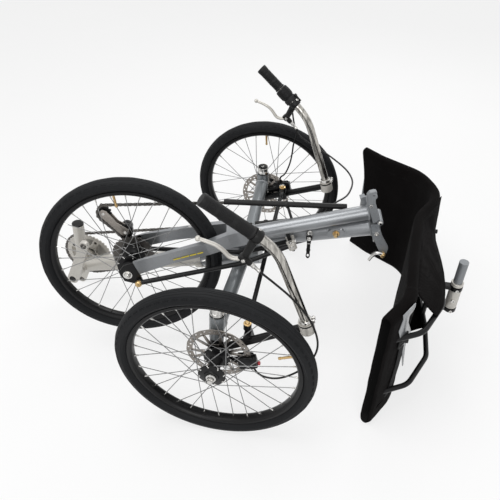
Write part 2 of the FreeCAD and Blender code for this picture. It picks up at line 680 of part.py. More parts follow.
def make_dropouts():
    """Dropout plates with the fixed rear axle between them."""
    x, y, z, width, height = STAY_SECTIONS[-1]
    x += RUNNING_GAP
    low, high = z - height / 2, z + height / 2
    outline = [(x, low + 2), (x, high), (x + 2, STAY_END_Z + 9), (x + 18, STAY_END_Z + 9),
               (x + 46, 258), (x + 46, 226), (x + 26, 214)]
    pieces = []
    for side in SIDES.values():
        pieces.append(plate(outline, DROPOUT_THICKNESS, side * DROPOUT_Y))
    inner = DROPOUT_Y - DROPOUT_THICKNESS / 2
    pieces.append(rod(V(REAR_AXLE_X, -DROPOUT_Y - 9, TYRE_RADIUS),
                      V(REAR_AXLE_X, DROPOUT_Y + 9, TYRE_RADIUS), REAR_AXLE_RADIUS))
    for side in SIDES.values():
        pieces.append(rod(V(REAR_AXLE_X, side * (AXLE_SHOULDER + SEAT_GAP), TYRE_RADIUS),
                          V(REAR_AXLE_X, side * (inner + 1), TYRE_RADIUS), 10))
    return union(pieces)


def make_seat_stays():
    """Two thin stays from bosses outside the dropouts to a clamp over the rear tube."""
    pieces = []
    face = DROPOUT_Y + DROPOUT_THICKNESS / 2
    for side in SIDES.values():
        low = V(STAY_END_X, side * (face + STAY_RADIUS + 3), STAY_END_Z)
        knee = V(756, side * 24, 350)
        front = V(624, side * 11, 351)
        boss = rod(V(low.x, side * (face + SEAT_GAP), low.z), V(low.x, side * (face + 17), low.z), 8)
        pieces += [rod(low, knee, STAY_RADIUS), rod(knee, front, STAY_RADIUS),
                   Part.makeSphere(STAY_RADIUS, knee), boss]
    clamp = block(V(616, -20, 341), V(630, 20, 361))
    foot = block(V(618, -7, 310), V(628, 7, 345))
    tube = rod(V(PIVOT_X, 0, rear_tube_z(PIVOT_X)), V(YOKE_X, 0, YOKE_Z),
               REAR_TUBE_RADIUS + RUNNING_GAP)
    return fused(pieces + [clamp, foot.cut(tube)])


def rear_tube_z(x):
    """Height of the rear tube's axis on the ridden trike."""
    start = PIVOT_X + PLATE_THICKNESS
    return HINGE_TUBE_Z + (YOKE_Z - HINGE_TUBE_Z) * (x - start) / (YOKE_X - start)


def make_derailleur():
    """Rear changer: body under the right dropout, cage plates and two pulleys."""
    body = plate([(1040, 212), (1064, 212), (1060, 186), (1044, 160), (1020, 164), (1024, 190)],
                 16, 67)
    knuckle = rod(V(1032, 48, 176), V(1032, 74, 176), 15)
    hanger = block(V(1040, DROPOUT_Y + DROPOUT_THICKNESS / 2 + SEAT_GAP, 198), V(1060, 80, 230))
    pieces = [body, knuckle, hanger]
    (guide_x, guide_z), (tension_x, tension_z) = GUIDE_PULLEY, TENSION_PULLEY
    outline = [(guide_x - 14, guide_z + 8), (guide_x + 12, guide_z + 10),
               (tension_x + 14, tension_z - 6), (tension_x - 8, tension_z - 14)]
    for y in (CHAIN_Y - 8, CHAIN_Y + 8):
        pieces.append(plate(outline, 2.4, y))
    for x, z in (GUIDE_PULLEY, TENSION_PULLEY):
        pieces.append(rod(V(x, CHAIN_Y - 3, z), V(x, CHAIN_Y + 3, z), PULLEY_RADIUS))
        pieces.append(rod(V(x, CHAIN_Y - 9, z), V(x, CHAIN_Y + 9, z), 5))
    return union(pieces).cut(make_chain_rear(2 * SEAT_GAP))


def make_cassette():
    """Stepped stack of cogs on the rear hub."""
    centre = V(REAR_AXLE_X, 0, TYRE_RADIUS)
    steps = [(24, 30, 58), (30, 36, 49), (36, 44, CHAIN_COG_RADIUS), (44, 50, 30), (50, 54, 26)]
    pieces = [rod(centre + V(0, low, 0), centre + V(0, high, 0), radius)
              for low, high, radius in steps]
    return union(pieces).cut(rod(centre, centre + V(0, 60, 0), HUB_RADIUS + SEAT_GAP))


# ---- chain ---------------------------------------------------------------------------------
def chain_run(points, y, extra=0.0):
    """Straight runs of chain through (x, z) points, round at each point."""
    half = V(0, (CHAIN_WIDTH + extra) / 2, 0)
    radius = (CHAIN_THICKNESS + extra) / 2
    pieces = []
    for (x0, z0), (x1, z1) in zip(points, points[1:]):
        start, end = V(x0, y, z0), V(x1, y, z1)
        across = (end - start).normalize().cross(Y_AXIS) * radius
        corners = [start + across, end + across, end - across, start - across]
        corners = [corner - half for corner in corners]
        pieces.append(Part.Face(Part.makePolygon(corners + corners[:1])).extrude(half * 2))
    for x, z in points[1:-1]:
        middle = V(x, y, z)
        pieces.append(rod(middle - half, middle + half, radius))
    return pieces


def chain_wrap(x, z, y, cog_radius, front):
    """Half a turn of chain round the front or the rear of a cog."""
    half = V(0, CHAIN_WIDTH / 2, 0)
    centre = V(x, y, z)
    outer = cog_radius + CHAIN_GAP + CHAIN_THICKNESS
    turn = sleeve(centre - half, centre + half, outer, cog_radius + CHAIN_GAP)
    low = centre + V(0 if front else -2 * outer, -CHAIN_WIDTH, -2 * outer)
    return turn.cut(block(low, low + V(2 * outer, 2 * CHAIN_WIDTH, 4 * outer)))


def chain_middle(cog_radius):
    """Distance from a cog's axis to the middle of the chain round it."""
    return cog_radius + CHAIN_GAP + CHAIN_THICKNESS / 2


def make_chain_front():
    """Chain round the chainring and back to the two chain tubes."""
    crank_z = SOCKET_Z + CRANK_RISE
    middle = chain_middle(RING_RADIUS)
    pieces = [chain_wrap(CRANK_X, crank_z, RING_Y, RING_RADIUS, True)]
    for sign, tube in ((1, FRONT_CHAIN_TUBES[0]), (-1, FRONT_CHAIN_TUBES[1])):
        mouth = (tube[0][0] - CHAIN_MOUTH, tube[0][2])
        pieces += chain_run([(CRANK_X, crank_z + sign * middle), mouth], RING_Y)
    return union(pieces)


def make_chain_rear(extra=0.0):
    """Chain round a rear cog and through the changer to the two chain tubes."""
    middle = chain_middle(CHAIN_COG_RADIUS)
    (guide_x, guide_z), (tension_x, tension_z) = GUIDE_PULLEY, TENSION_PULLEY
    grip = chain_middle(PULLEY_RADIUS)
    upper_end, lower_end = [route[-1] for route in REAR_CHAIN_TUBES]
    upper = [(REAR_AXLE_X, TYRE_RADIUS + middle), (upper_end[0] + CHAIN_MOUTH, upper_end[2])]
    lower = [(REAR_AXLE_X, TYRE_RADIUS - middle), (guide_x + grip, guide_z + 6),
             (guide_x + grip - 4, guide_z - 10), (tension_x + grip, tension_z + 6),
             (tension_x + grip - 6, tension_z - 14), (tension_x - 2, tension_z - grip),
             (lower_end[0] + CHAIN_MOUTH, lower_end[2] + 2)]
    pieces = [chain_wrap(REAR_AXLE_X, TYRE_RADIUS, CHAIN_Y, CHAIN_COG_RADIUS, False)]
    return union(pieces + chain_run(upper, CHAIN_Y, extra) + chain_run(lower, CHAIN_Y, extra))


def make_chain_tubes(routes):
    """Black guide tubes round the chain."""
    tubes = []
    for route in routes:
        points = [V(*point) for point in route]
        outer, inner = [bent_rod(points, radius, CHAIN_TUBE_BEND)
                        for radius in (CHAIN_TUBE_RADIUS, CHAIN_TUBE_BORE)]
        tubes.append(outer.cut(inner))
    return tubes


# ---- controls ------------------------------------------------------------------------------
def make_brake_lever(side):
    """Lever perch round the handlebar with its body, cable barrel and curved blade."""
    bar = bar_points(side)
    middle = toward(bar[-1], bar[-2], GRIP_LENGTH + PERCH_WIDTH / 2 + 1)
    along = (bar[-1] - bar[-2]).normalize() * (PERCH_WIDTH / 2)
    perch = rod(middle - along, middle + along, BAR_RADIUS + 5)
    blade_points = [V(x, side * y, z) for x, y, z in LEVER_BLADE]
    pivot = blade_points[0]
    barrel_end = V(BRAKE_CABLES[side][0][0], side * BRAKE_CABLES[side][0][1], BRAKE_CABLES[side][0][2])
    body = rod(middle, pivot, 8)
    barrel = rod(pivot, barrel_end, 8)
    blade = bent_rod(blade_points, 4.5, 14)
    return union([perch, body, barrel, blade]).cut(rod(bar[-1], bar[-2], BAR_RADIUS + SEAT_GAP))


def make_caliper(side):
    """Brake caliper straddling the rear edge of a disc, on an arm from the knuckle."""
    z = CALIPER_Z[side]
    body = block(V(42, ROTOR_Y - 12, z - 22.5), V(90, ROTOR_Y + 9, z + 22.5))
    slot = block(V(20, ROTOR_Y - ROTOR_SLOT, z - 60), V(82, ROTOR_Y + ROTOR_SLOT, z + 60))
    adjuster = rod(V(66, ROTOR_Y - 20, z + 8), V(66, ROTOR_Y - 10, z + 8), 11)
    mount = block(V(0, ROTOR_Y - 12, z - 12), V(60, ROTOR_Y - 4, z + 8))
    caliper = union([body.cut(slot), adjuster, mount])
    if side == LEFT:
        caliper = caliper.mirror(V(0, 0, 0), Y_AXIS)
    return caliper.cut(make_knuckle(side))


def make_brake_cable(side):
    """Brake cable from the lever to the caliper, both on one knuckle."""
    pivot = V(LEVER_BLADE[0][0], side * LEVER_BLADE[0][1], LEVER_BLADE[0][2])
    route = [V(x, side * y, z) for x, y, z in BRAKE_CABLES[side]]
    out = (route[0] - pivot).normalize()
    return bent_rod([route[0] + out * SEAT_GAP, route[0] + out * 12] + route[1:], CABLE_RADIUS, 30)


def make_shifter():
    """Twist shifter between the right grip and the lever perch."""
    bar = bar_points(RIGHT)
    start = toward(bar[-1], bar[-2], GRIP_LENGTH)
    end = toward(bar[-1], bar[-2], GRIP_LENGTH - SHIFTER_LENGTH)
    return rod(start, end, SHIFTER_RADIUS).cut(rod(bar[-2], bar[-1], BAR_RADIUS + SEAT_GAP))


def make_gear_cable(points):
    """One stretch of the gear cable."""
    return bent_rod([V(*point) for point in points], CABLE_RADIUS, 30)


# ---- small pieces on the front frame -------------------------------------------------------
def make_strap():
    """Rubber strap with an end loop, hanging plumb from a stud on the main tube."""
    stud = rod(V(STRAP_X, -18, STRAP_Z), V(STRAP_X, -42, STRAP_Z), 6)
    lean = math.tan(math.radians(rest_pitch()))
    bottom_x = STRAP_X - lean * STRAP_DROP
    band = plate([(STRAP_X - 6, STRAP_Z + 4), (STRAP_X + 6, STRAP_Z + 4),
                  (bottom_x + 6, STRAP_Z - STRAP_DROP), (bottom_x - 6, STRAP_Z - STRAP_DROP)],
                 STRAP_THICKNESS, STRAP_Y)
    half = V(0, STRAP_THICKNESS / 2, 0)
    middle = V(bottom_x - lean * 9, STRAP_Y, STRAP_Z - STRAP_DROP - 9)
    loop = sleeve(middle - half, middle + half, 10, 6)
    return union([stud.cut(main_tube_solid()), band, loop])


def main_tube_solid():
    """The main tube's outside, to cut pieces that stand on it."""
    return rod(V(0, 0, main_tube_z(0)), V(HINGE_X, 0, HINGE_TUBE_Z), MAIN_TUBE_RADIUS + RUNNING_GAP)


def make_seat_stud():
    """Oval pad on the main tube with the brass bolt that holds the seat."""
    pad = union([rod(V(x, -18, 336), V(x, -29, 336), 11) for x in (262, 286)] +
                [block(V(262, -29, 325), V(286, -18, 347))])
    bolt = rod(V(274, -20, 336), V(274, -40, 336), SEAT_BOLT_RADIUS)
    return union([pad, bolt]).cut(main_tube_solid())


# ---- seat ----------------------------------------------------------------------------------
def floor_points(outline, height):
    """Points of a floor plan at one height."""
    return [V(x, y, height) for x, y in outline]


def seat_crosses():
    """Floor plan points of the cross tubes."""
    places = []
    for stretch, share in SEAT_CROSSES:
        (x0, y0), (x1, y1) = SEAT_PROFILE[stretch], SEAT_PROFILE[stretch + 1]
        places.append((x0 + (x1 - x0) * share, y0 + (y1 - y0) * share))
    return places


def make_seat_frame():
    """Two rails with cross tubes between them."""
    low, high = SEAT_RAIL_RADIUS, SEAT_WIDTH - SEAT_RAIL_RADIUS
    pieces = [bent_rod(floor_points(SEAT_PROFILE, height), SEAT_RAIL_RADIUS, SEAT_BEND)
              for height in (low, high)]
    for x, y in seat_crosses():
        pieces.append(rod(V(x, y, low), V(x, y, high), SEAT_CROSS_RADIUS))
    return union(pieces)


def make_seat_sling():
    """Mesh sling stretched in front of the rails."""
    path = bent_wire(floor_points(SEAT_PROFILE, SEAT_WIDTH / 2), SEAT_BEND)
    start = V(SEAT_PROFILE[0][0], SEAT_PROFILE[0][1], SEAT_WIDTH / 2)
    ahead = V(SEAT_PROFILE[1][0], SEAT_PROFILE[1][1], SEAT_WIDTH / 2) - start
    inward = ahead.normalize().cross(Z_AXIS)
    near = start + inward * (SEAT_RAIL_RADIUS + SEAT_GAP)
    far = near + inward * SLING_THICKNESS
    rise = V(0, 0, SEAT_WIDTH / 2 - SLING_MARGIN)
    corners = [near - rise, far - rise, far + rise, near + rise]
    section = Part.makePolygon(corners + corners[:1])
    return path.makePipeShell([section], True, False)


def make_seat_brace():
    """Two bows behind the backrest and the arms to the mounting tube."""
    crosses = seat_crosses()
    outline = [crosses[1]] + BOW_PROFILE + [crosses[3]]
    pieces = [bent_rod(floor_points(outline, height), BOW_RADIUS, BOW_BEND)
              for height in BOW_HEIGHTS]
    bow_x = BOW_PROFILE[1][0] + (BOW_PROFILE[2][0] - BOW_PROFILE[1][0]) * 0.6
    low, high = [V(bow_x, SEAT_POST_Y, height) for height in BOW_HEIGHTS]
    pieces.append(rod(low, high, BOW_RADIUS))
    for height in SEAT_ARM_HEIGHTS:
        low = V(bow_x, SEAT_POST_Y - 9, height - 6)
        arm = block(low, V(SEAT_POST_X, SEAT_POST_Y + 9, height + 6))
        eye = rod(V(SEAT_POST_X, SEAT_POST_Y, height - 6), V(SEAT_POST_X, SEAT_POST_Y, height + 6),
                  SEAT_POST_RADIUS + 5)
        pieces.append(arm.fuse(eye))
    whole = union(pieces)
    whole = whole.cut(rod(V(SEAT_POST_X, SEAT_POST_Y, 0), V(SEAT_POST_X, SEAT_POST_Y, SEAT_WIDTH),
                          SEAT_POST_INNER))
    for x, y in (crosses[1], crosses[3]):
        whole = whole.cut(rod(V(x, y, 0), V(x, y, SEAT_WIDTH), SEAT_CROSS_RADIUS + RUNNING_GAP))
    return max(whole.Solids, key=lambda solid: solid.Volume)


def make_seat_post():
    """Mounting tube of the seat: the stretch in its arms, and the bare end above them."""
    low, high = [V(SEAT_POST_X, SEAT_POST_Y, z) for z in SEAT_POST_SPAN]
    step = V(SEAT_POST_X, SEAT_POST_Y, SEAT_POST_STEP)
    return union([rod(low, step, SEAT_POST_INNER - RUNNING_GAP), rod(step, high, SEAT_POST_RADIUS)])


# ---- output --------------------------------------------------------------------------------
PARTS = {}


def keep(name, shape):
    """Record one named piece."""
    PARTS[name] = shape


def build_front_frame():
    """Pieces that stay with the front frame."""
    keep("main_tube", tipped(make_main_tube()))
    keep("boom_socket", tipped(make_boom_socket()))
    keep("boom", tipped(make_boom()))
    keep("cross_member", tipped(make_cross_member()))
    keep("hinge_front", tipped(make_hinge_front()))
    keep("hinge_latch", tipped(make_hinge_latch()))
    keep("chain_front", tipped(make_chain_front()))
    keep("chain_tubes_front", tipped(Part.makeCompound(make_chain_tubes(FRONT_CHAIN_TUBES))))
    keep("gear_cable_frame", tipped(make_gear_cable(FRAME_CABLE)))
    keep("strap", tipped(make_strap()))
    keep("seat_stud", tipped(make_seat_stud()))


def build_seat():
    """The seat, off the trike and on its side."""
    keep("seat_frame", make_seat_frame())
    keep("seat_sling", make_seat_sling())
    keep("seat_brace", make_seat_brace())
    keep("seat_post", make_seat_post())


def build_rear_frame():
    """Pieces that fold over."""
    keep("hinge_rear", folded(make_hinge_rear()))
    keep("rear_tube", folded(make_rear_tube()))
    keep("chainstays", folded(make_chainstays()))
    keep("dropouts", folded(make_dropouts()))
    keep("seat_stays", folded(make_seat_stays()))
    keep("derailleur", folded(make_derailleur()))
    keep("chain_rear", folded(make_chain_rear()))
    keep("chain_tubes_rear", folded(Part.makeCompound(make_chain_tubes(REAR_CHAIN_TUBES))))


def build_rear_wheel():
    """The rear wheel with its cogs."""
    centre = V(REAR_AXLE_X, 0, TYRE_RADIUS)
    flanges = [REAR_FLANGE_LEFT, REAR_FLANGE_RIGHT]
    keep("tyre_rear", folded(make_tyre(centre)))
    keep("rim_rear", folded(make_rim(centre)))
    keep("spokes_rear", folded(make_spokes(centre, flanges)))
    keep("hub_rear", folded(make_hub(centre, flanges, -AXLE_SHOULDER, AXLE_SHOULDER,
                                     REAR_AXLE_RADIUS + RUNNING_GAP)))
    keep("cassette", folded(make_cassette()))


def build_cranks():
    """Pieces that turn with the cranks."""
    keep("crank_left", tipped(make_crank(LEFT)))
    keep("crank_right", tipped(make_crank(RIGHT)))
    keep("chainring", tipped(make_chainring()))


def build_steering():
    """Pieces that turn on the kingpins, and the tie rod."""
    for name, side in SIDES.items():
        keep("knuckle_" + name, tipped(make_knuckle(side)))
        keep("kingpin_collar_" + name, tipped(make_collar(side)))
        keep("steering_arm_" + name, tipped(make_steering_arm(side)))
        keep("handlebar_" + name, tipped(make_handlebar(side)))
        keep("grip_" + name, tipped(make_grip(side)))
        keep("brake_lever_" + name, tipped(make_brake_lever(side)))
        keep("caliper_" + name, tipped(make_caliper(side)))
        keep("brake_cable_" + name, tipped(make_brake_cable(side)))
    keep("shifter", tipped(make_shifter()))
    keep("gear_cable_bar", tipped(make_gear_cable(BAR_CABLE)))
    keep("tie_rod", tipped(make_tie_rod()))


def build_front_wheels():
    """The two front wheels with their brake discs."""
    for name, side in SIDES.items():
        centre = V(0, side * TRACK / 2, TYRE_RADIUS)
        flanges = [-FRONT_FLANGE_OFFSET, FRONT_FLANGE_OFFSET]
        low = ROTOR_Y - ROTOR_THICKNESS / 2 - 2 - TRACK / 2
        span = [low, HUB_HALF_WIDTH] if side == RIGHT else [-HUB_HALF_WIDTH, -low]
        keep("tyre_front_" + name, tipped(make_tyre(centre)))
        keep("rim_front_" + name, tipped(make_rim(centre)))
        keep("spokes_front_" + name, tipped(make_spokes(centre, flanges)))
        keep("hub_front_" + name, tipped(make_hub(centre, flanges, span[0], span[1],
                                                  AXLE_RADIUS + RUNNING_GAP)))
        keep("brake_disc_" + name, tipped(make_rotor(V(0, side * ROTOR_Y, TYRE_RADIUS))))


build_front_frame()
build_seat()
build_cranks()
build_steering()
build_front_wheels()
build_rear_frame()
build_rear_wheel()

# the origin goes on the floor under the middle of the whole
box = FreeCAD.BoundBox()
for shape in PARTS.values():
    box.add(shape.optimalBoundingBox(False, False))
home = V(-box.Center.x, -box.Center.y, -box.ZMin)
for node, shape in PARTS.items():
    shape.translate(home)
    shape.exportStep("parts/" + node + ".step")
    print(node, len(shape.Solids), round(shape.Volume), shape.isValid())
print("pitch", round(rest_pitch(), 3), "home", home)
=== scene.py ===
import math

import bmesh
import bpy
from mathutils import Matrix, Vector, noise


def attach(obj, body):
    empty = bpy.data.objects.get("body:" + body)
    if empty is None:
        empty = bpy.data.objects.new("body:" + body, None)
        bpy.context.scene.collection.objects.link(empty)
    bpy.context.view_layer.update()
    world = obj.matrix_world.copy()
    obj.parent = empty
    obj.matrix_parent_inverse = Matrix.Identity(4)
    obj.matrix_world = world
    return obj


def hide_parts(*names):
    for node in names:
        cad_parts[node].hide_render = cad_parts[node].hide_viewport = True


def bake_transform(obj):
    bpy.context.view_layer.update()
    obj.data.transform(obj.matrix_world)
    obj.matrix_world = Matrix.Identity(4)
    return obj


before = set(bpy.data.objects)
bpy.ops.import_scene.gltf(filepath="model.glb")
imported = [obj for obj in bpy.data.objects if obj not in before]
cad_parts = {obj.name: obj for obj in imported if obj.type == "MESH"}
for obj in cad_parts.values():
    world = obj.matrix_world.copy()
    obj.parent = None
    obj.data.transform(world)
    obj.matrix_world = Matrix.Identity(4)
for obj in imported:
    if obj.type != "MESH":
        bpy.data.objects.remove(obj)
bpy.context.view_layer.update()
print("frame loaded,", len(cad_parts), "nodes")

# how the trike stands: the front frame tips about its axle, the rear frame folds over first
stance = {"pitch": 12.484, "axle": 0.243, "home": (-0.00437351, -0.01403568, 0.0),
          "pivot": (0.386, 0.0, 0.359), "fold": -188.6, "yaw": 6.4, "roll": 0.8}
sides = {"left": -1, "right": 1}
alongAxis, acrossAxis, upAxis = Vector((1, 0, 0)), Vector((0, 1, 0)), Vector((0, 0, 1))


def at(x, y, z):  # a spot given in millimetres
    return Vector((x, y, z)) * 0.001


def circleSpot(radius, turn, y=0):  # a spot on a circle in X and Z, in millimetres
    return at(radius * math.cos(turn), y, radius * math.sin(turn))


def placeFront():
    lift = Matrix.Translation((0, 0, stance["axle"]))
    tip = Matrix.Rotation(-math.radians(stance["pitch"]), 4, "Y")
    return Matrix.Translation(stance["home"]) @ lift @ tip @ lift.inverted()


def pinDirection():
    yaw, roll = math.radians(stance["yaw"]), math.radians(stance["roll"])
    return Vector((-math.sin(yaw) * math.cos(roll), math.cos(yaw) * math.cos(roll), -math.sin(roll)))


def placeRear():
    hinge = Matrix.Translation(stance["pivot"])
    turn = Matrix.Rotation(math.radians(stance["fold"]), 4, pinDirection())
    return placeFront() @ hinge @ turn @ hinge.inverted()


frontPlace = placeFront()
rearPlace = placeRear()
seatPlace = Matrix.Translation(stance["home"])


# shader groups, each with its colour, roughness and height as outputs
def newGroup(name, inputs):
    group = bpy.data.node_groups.new(name, "ShaderNodeTree")
    for label, value in [("Vector", None)] + list(inputs.items()):
        kind = "Color" if label.endswith("Color") else "Float" if isinstance(value, float) else "Vector"
        socket = group.interface.new_socket(label, in_out="INPUT", socket_type="NodeSocket" + kind)
        if value is not None:
            socket.default_value = (*value, 1) if kind == "Color" else value
    for label, kind in (("Color", "Color"), ("Roughness", "Float"), ("Height", "Float")):
        group.interface.new_socket(label, in_out="OUTPUT", socket_type="NodeSocket" + kind)
    return group, group.nodes.new("NodeGroupInput").outputs, group.nodes.new("NodeGroupOutput").inputs


def addNode(tree, kind, values=None, **settings):
    node = tree.nodes.new(kind)
    for label, value in settings.items():
        setattr(node, label, value)
    for label, value in (values or {}).items():
        if isinstance(value, (int, float, tuple)):
            node.inputs[label].default_value = value
        else:
            tree.links.new(value, node.inputs[label])
    return node


def addMath(tree, operation, first, second):
    return addNode(tree, "ShaderNodeMath", {0: first, 1: second}, operation=operation).outputs[0]


def addMix(tree, factor, first, second):
    return addNode(tree, "ShaderNodeMix", {0: factor, 6: first, 7: second}, data_type="RGBA").outputs[2]


def addRange(tree, value, low, high, toLow, toHigh):
    return addNode(tree, "ShaderNodeMapRange", {0: value, 1: low, 2: high, 3: toLow, 4: toHigh}).outputs[0]


def addNoise(tree, place, scale, detail, rough=0.5):
    values = {"Vector": place, "Scale": scale, "Detail": detail, "Roughness": rough}
    return addNode(tree, "ShaderNodeTexNoise", values).outputs["Fac"]


def setOutputs(tree, result, color, rough, height):
    for label, output in (("Color", color), ("Roughness", rough), ("Height", height)):
        tree.links.new(output, result[label])


def buildWearGroup():  # cloudy colour, fine grain and scattered scuffs
    group, given, result = newGroup("surfaceWear", {
        "Color": (0.5, 0.5, 0.5), "Worn Color": (0.3, 0.3, 0.3), "Wear": 0.3, "Roughness": 0.4,
        "Grain Scale": 600.0, "Cloud Scale": 12.0})
    cloud = addNoise(group, given["Vector"], given["Cloud Scale"], 5.0, 0.6)
    grain = addNoise(group, given["Vector"], given["Grain Scale"], 2.0)
    scuff = addNoise(group, given["Vector"], 55.0, 8.0, 0.75)
    patch = addMath(group, "MULTIPLY", addRange(group, cloud, 0.42, 0.7, 0.0, 1.0), 0.55)
    marks = addRange(group, scuff, 0.6, 0.72, 0.0, 1.0)
    worn = addMath(group, "MULTIPLY", addMath(group, "MAXIMUM", patch, marks), given["Wear"])
    base = addMix(group, worn, given["Color"], given["Worn Color"])
    speckle = addRange(group, grain, 0.3, 0.7, 0.86, 1.14)
    vary = addNode(group, "ShaderNodeVectorMath", {0: base, "Scale": speckle}, operation="SCALE")
    rough = addMath(group, "ADD", given["Roughness"], addMath(group, "MULTIPLY", worn, 0.25))
    rough = addMath(group, "ADD", rough, addRange(group, grain, 0.3, 0.7, -0.04, 0.04))
    setOutputs(group, result, vary.outputs[0], rough, grain)
    return group


def buildBrushGroup():  # fine lines drawn out along one direction: brush lines on most metals, and painted reflection streaks along the polished bar
    group, given, result = newGroup("brushLinesAndPaintedStreaks", {
        "Stretch": (900.0, 900.0, 25.0), "Color": (0.6, 0.6, 0.6), "Dark Color": (0.4, 0.4, 0.4),
        "Roughness": 0.3})
    drawn = addNode(group, "ShaderNodeVectorMath", {0: given["Vector"], 1: given["Stretch"]},
                    operation="MULTIPLY").outputs[0]
    lines = addNoise(group, drawn, 1.0, 3.0)
    cloud = addNoise(group, given["Vector"], 18.0, 4.0)
    shade = addMath(group, "MULTIPLY", addRange(group, lines, 0.35, 0.65, 0.0, 1.0),
                    addRange(group, cloud, 0.3, 0.7, 0.5, 1.0))
    tone = addMix(group, shade, given["Color"], given["Dark Color"])
    rough = addMath(group, "ADD", given["Roughness"], addMath(group, "MULTIPLY", shade, 0.12))
    setOutputs(group, result, tone, rough, lines)
    return group


def buildWeaveGroup():  # over and under threads on a flat layout measured in metres
    group, given, result = newGroup("clothWeave", {
        "Threads": 900.0, "Color": (0.02, 0.02, 0.02), "Gap Color": (0.005, 0.005, 0.005),
        "Fade Color": (0.04, 0.04, 0.04), "Roughness": 0.85})
    split = addNode(group, "ShaderNodeSeparateXYZ", {0: given["Vector"]})
    waves = []
    for axis in ("X", "Y"):
        turn = addMath(group, "MULTIPLY", split.outputs[axis], given["Threads"])
        waves.append(addMath(group, "ABSOLUTE", addMath(group, "SINE", turn, 0.0), 0.0))
    crossing = addMath(group, "MULTIPLY", *waves)
    thread = addMath(group, "MAXIMUM", *waves)
    faded = addRange(group, addNoise(group, given["Vector"], 9.0, 5.0), 0.4, 0.75, 0.0, 1.0)
    tone = addMix(group, faded, given["Color"], given["Fade Color"])
    tone = addMix(group, addRange(group, thread, 0.3, 0.75, 1.0, 0.0), tone, given["Gap Color"])
    rough = addMath(group, "SUBTRACT", given["Roughness"], addMath(group, "MULTIPLY", crossing, 0.15))
    setOutputs(group, result, tone, rough, addMath(group, "ADD", thread, crossing))
    return group


groups = {"wear": buildWearGroup(), "brush": buildBrushGroup(), "weave": buildWeaveGroup()}
finishes = {}


def makeFinish(name, slot, kind, bump, shader, coords="Object", **values):  # bump is strength and distance
    material = bpy.data.materials.new(name)
    material.use_nodes = True
    tree = material.node_tree
    surface = tree.nodes["Principled BSDF"]
    for label, value in shader.items():
        surface.inputs[label].default_value = value
    place = addNode(tree, "ShaderNodeTexCoord").outputs[coords]
    effect = addNode(tree, "ShaderNodeGroup", node_tree=groups[kind])
    tree.links.new(place, effect.inputs["Vector"])
    labels = {"color": "Color", "worn": "Worn Color", "dark": "Dark Color", "gap": "Gap Color",
              "fade": "Fade Color", "wear": "Wear", "rough": "Roughness", "grain": "Grain Scale",
              "cloud": "Cloud Scale", "stretch": "Stretch", "threads": "Threads"}
    for key, value in values.items():
        socket = effect.inputs[labels[key]]
        socket.default_value = (*value, 1) if labels[key].endswith("Color") else value
    tree.links.new(effect.outputs["Color"], surface.inputs["Base Color"])
    tree.links.new(effect.outputs["Roughness"], surface.inputs["Roughness"])
    relief = addNode(tree, "ShaderNodeBump",
                     {"Strength": bump[0], "Distance": bump[1], "Height": effect.outputs["Height"]})
    tree.links.new(relief.outputs["Normal"], surface.inputs["Normal"])
    finishes[name] = (material, slot)


makeFinish("silverPaint", "frame_paint", "wear", (0.05, 0.0001),
           {"Metallic": 0.55, "Coat Weight": 0.5, "Coat Roughness": 0.12},
           color=(0.25, 0.26, 0.272), worn=(0.18, 0.19, 0.20), wear=0.25, rough=0.3, grain=1600.0)
makeFinish("greyPaint", "frame_paint", "wear", (0.05, 0.0001),
           {"Metallic": 0.5, "Coat Weight": 0.35, "Coat Roughness": 0.2},
           color=(0.20, 0.215, 0.225), worn=(0.15, 0.16, 0.17), wear=0.3, rough=0.38, grain=1600.0)
makeFinish("warmSilver", "warm_silver", "wear", (0.08, 0.0001), {"Metallic": 0.45},
           color=(0.56, 0.54, 0.50), worn=(0.42, 0.40, 0.36), wear=0.3, rough=0.42, grain=1200.0)
makeFinish("castGrey", "hinge_grey", "wear", (0.2, 0.0002), {"Metallic": 0.5},
           color=(0.235, 0.247, 0.26), worn=(0.16, 0.17, 0.18), wear=0.4, rough=0.45, grain=500.0)
makeFinish("weldBead", "frame_paint", "wear", (0.3, 0.0004), {"Metallic": 0.5},
           color=(0.25, 0.26, 0.27), worn=(0.17, 0.18, 0.19), wear=0.5, rough=0.4, grain=700.0)
# the handlebar's dark colour, drawn out in bands along the bar, is painted reflection streaks
makeFinish("polishedBarPaintedStreaks", "polished_silver", "brush", (0.04, 0.0001), {"Metallic": 1.0},
           color=(0.58, 0.56, 0.52), dark=(0.12, 0.115, 0.105), rough=0.16, stretch=(170.0, 170.0, 3.0))
makeFinish("brightAlloy", "polished_silver", "brush", (0.05, 0.0001), {"Metallic": 1.0},
           color=(0.70, 0.69, 0.67), dark=(0.50, 0.49, 0.47), rough=0.18, stretch=(700.0, 60.0, 700.0))
makeFinish("discSteel", "steel", "brush", (0.1, 0.0001), {"Metallic": 1.0},
           color=(0.36, 0.33, 0.30), dark=(0.24, 0.22, 0.20), rough=0.35, stretch=(500.0, 500.0, 500.0))
makeFinish("spokeSteel", "steel", "brush", (0.05, 0.0001), {"Metallic": 0.9},
           color=(0.30, 0.30, 0.30), dark=(0.18, 0.18, 0.18), rough=0.3, stretch=(300.0, 300.0, 300.0))
makeFinish("chainSteel", "steel", "wear", (0.1, 0.0001), {"Metallic": 0.9},
           color=(0.10, 0.095, 0.09), worn=(0.20, 0.18, 0.16), wear=0.6, rough=0.35, grain=900.0)
makeFinish("blackAlloy", "black_metal", "wear", (0.06, 0.0001), {"Metallic": 0.0, "Specular IOR Level": 0.22},
           color=(0.006, 0.006, 0.0065), worn=(0.02, 0.02, 0.02), wear=0.2, rough=0.32, grain=1200.0)
makeFinish("blackPlastic", "black_plastic", "wear", (0.12, 0.0001), {"Specular IOR Level": 0.25},
           color=(0.006, 0.006, 0.006), worn=(0.02, 0.02, 0.02), wear=0.25, rough=0.42, grain=1500.0)
